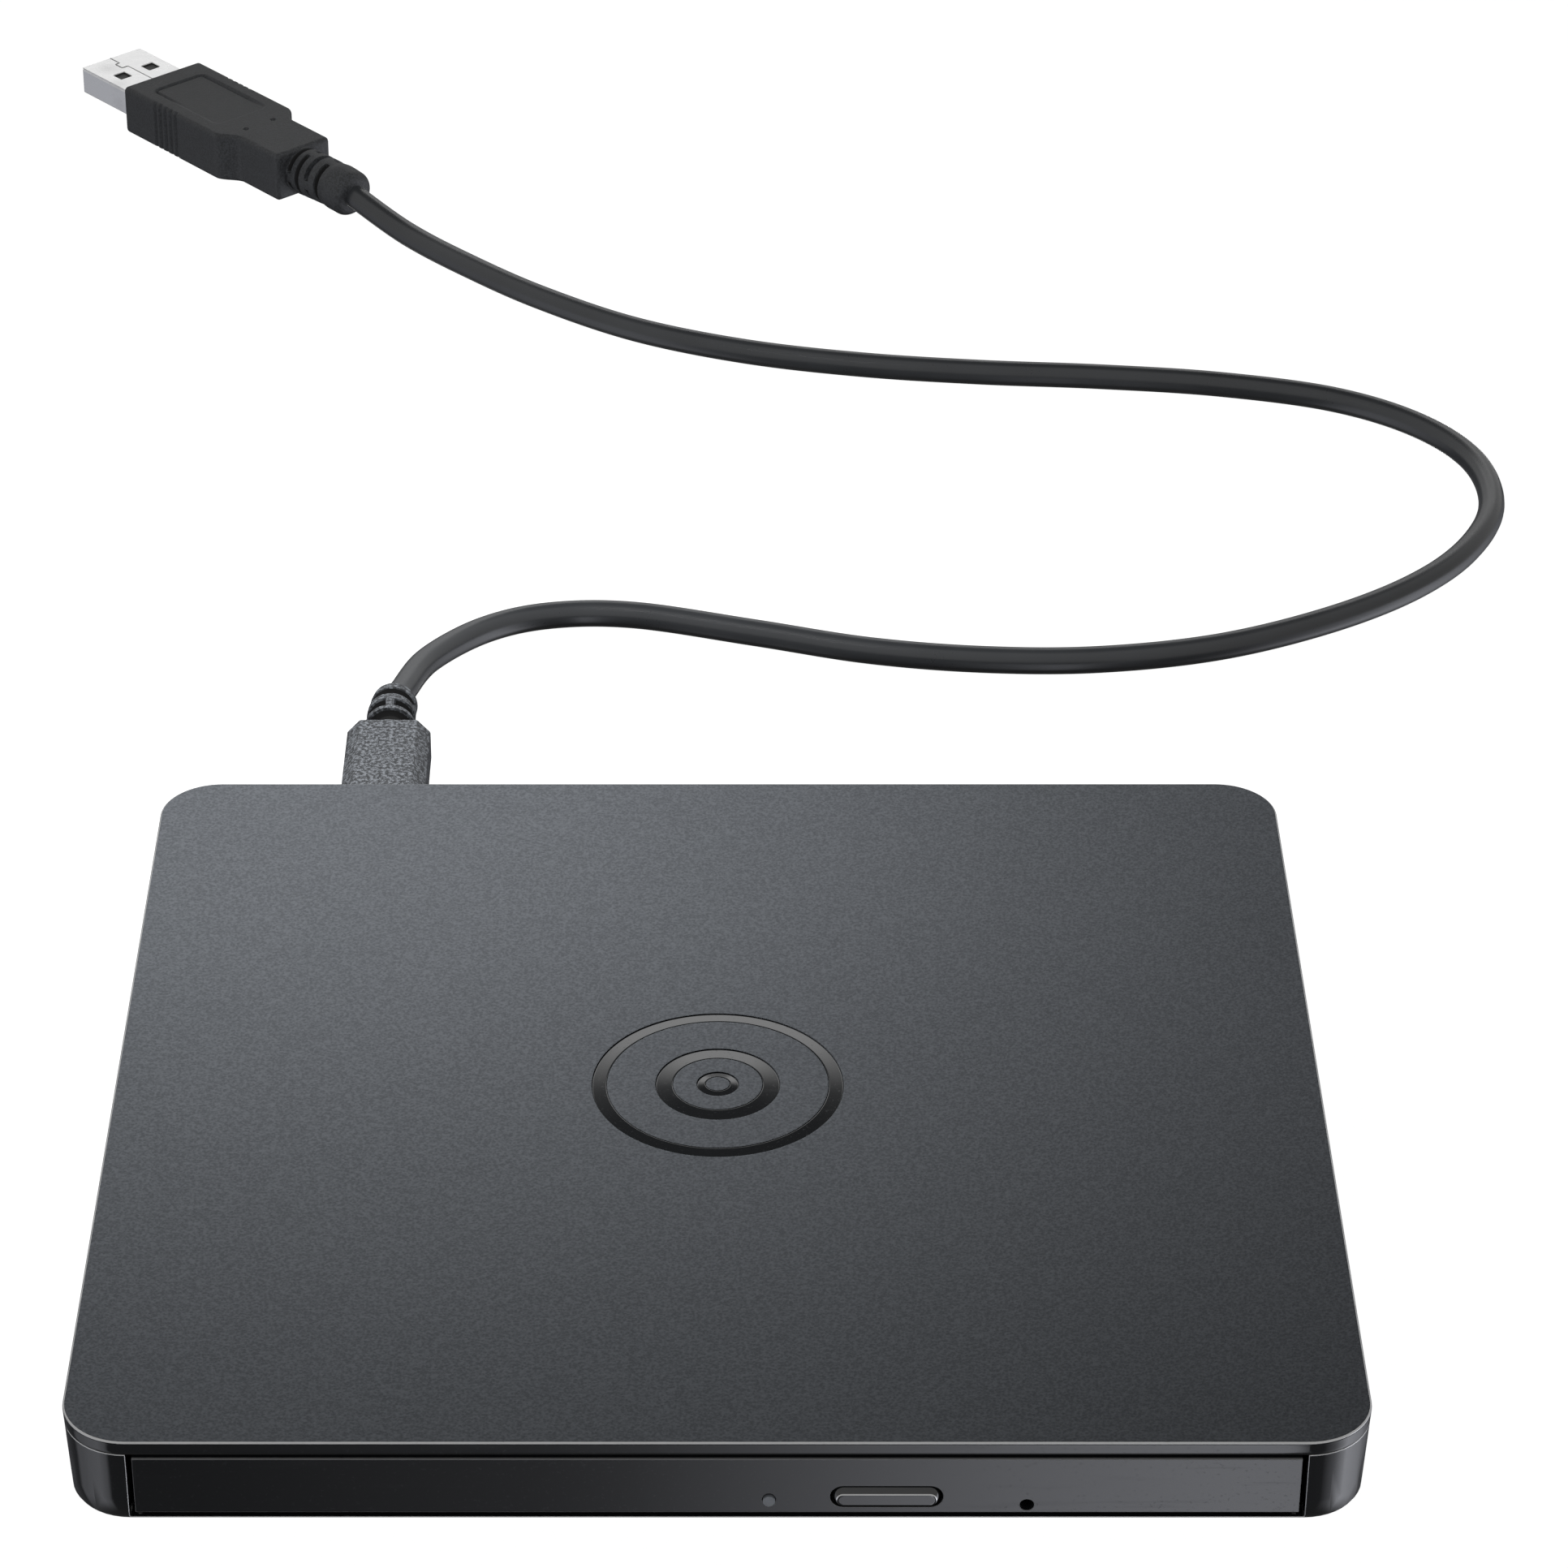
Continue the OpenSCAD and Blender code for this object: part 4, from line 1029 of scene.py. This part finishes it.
def makeFloor(facts):
    material = bpy.data.materials.new("paleFloor")
    material.use_nodes = True
    tree = material.node_tree
    tree.nodes.clear()
    paint = Paint(tree)
    patch = paint.noise(3.0, 2)
    tone = paint.mixed(patch, grey(facts["floorPaint"]), grey(facts["floorPaint"] * 1.02))
    matte = paint.node("BsdfDiffuse", {}, {"Color": tone})
    glow = paint.node("Emission", {}, {"Color": grey(1.0), "Strength": facts["floorGlow"]})
    total = paint.node("AddShader", {}, {0: matte, 1: glow})
    out = tree.nodes.new("ShaderNodeOutputMaterial")
    tree.links.new(total.socket, out.inputs["Surface"])
    half = facts["floorSize"] / 2
    mesh = bpy.data.meshes.new("studioFloor")
    corners = [(-half, -half, 0), (half, -half, 0), (half, half, 0), (-half, half, 0)]
    mesh.from_pydata(corners, [], [(0, 1, 2, 3)])
    mesh.materials.append(material)
    floor = bpy.data.objects.new("studioFloor", mesh)
    bpy.context.scene.collection.objects.link(floor)
    floor.visible_glossy = False
    floor.visible_diffuse = False


def makeLamp(facts):
    # a square soft box that points straight down
    data = bpy.data.lights.new("softBox", "AREA")
    data.shape = "SQUARE"
    data.size = facts["size"]
    data.energy = facts["energy"]
    lamp = bpy.data.objects.new("softBox", data)
    lamp.location = facts["place"]
    lamp.visible_camera = False
    lamp.visible_glossy = False
    bpy.context.scene.collection.objects.link(lamp)


def makeSurroundings(facts):
    # the world as each kind of ray sees it: gloss the cards and the strip, matt faces an even fill,
    # the camera plain white
    world = bpy.data.worlds.new("studioRoom")
    bpy.context.scene.world = world
    world.use_nodes = True
    tree = world.node_tree
    tree.nodes.clear()
    paint = Paint(tree)
    way = paint.node("TexCoord", output=0)
    x, y, z = (paint.axis(i, way) for i in range(3))
    azimuth = x.maths("ARCTAN2", y * -1.0) / (2 * math.pi) + 0.5
    cards = paint.node("ValToRGB", {
        "stops": [(place, grey(value, cardTint)) for place, value in facts["cards"]]}, {"Fac": azimuth})
    behind = paint.node("ValToRGB", {"stops": facts["behind"]}, {"Fac": z})
    aside = paint.between(x.maths("ABSOLUTE"), 0.25, 0.5) + paint.between(y, 0.0, 0.25, 1.0, 0.0)
    upper = paint.mixed(aside.maths("MINIMUM", 1.0), behind, grey(facts["ceiling"]))
    lower = paint.mixed(paint.between(z, -0.92, -0.72), grey(0.10), cards)
    room = paint.mixed(paint.between(z, -0.08, 0.02), lower, upper)
    fill = paint.between(z, -0.1, 0.1, *facts["fill"])
    cameraRay, matteRay = (paint.node("LightPath", output=i) for i in (0, 2))
    soft = paint.mixed(matteRay, room, paint.node("CombineXYZ", {}, {0: fill, 1: fill, 2: fill}))
    shown = paint.mixed(cameraRay, soft, grey(1.0))
    background = paint.node("Background", {}, {"Color": shown, "Strength": 1.0})
    out = tree.nodes.new("ShaderNodeOutputWorld")
    tree.links.new(background.socket, out.inputs["Surface"])


makeFloor(studio)
makeLamp(studio["lamp"])
makeSurroundings(studio)
bpy.context.scene.view_settings.view_transform = "Standard"

print("done")
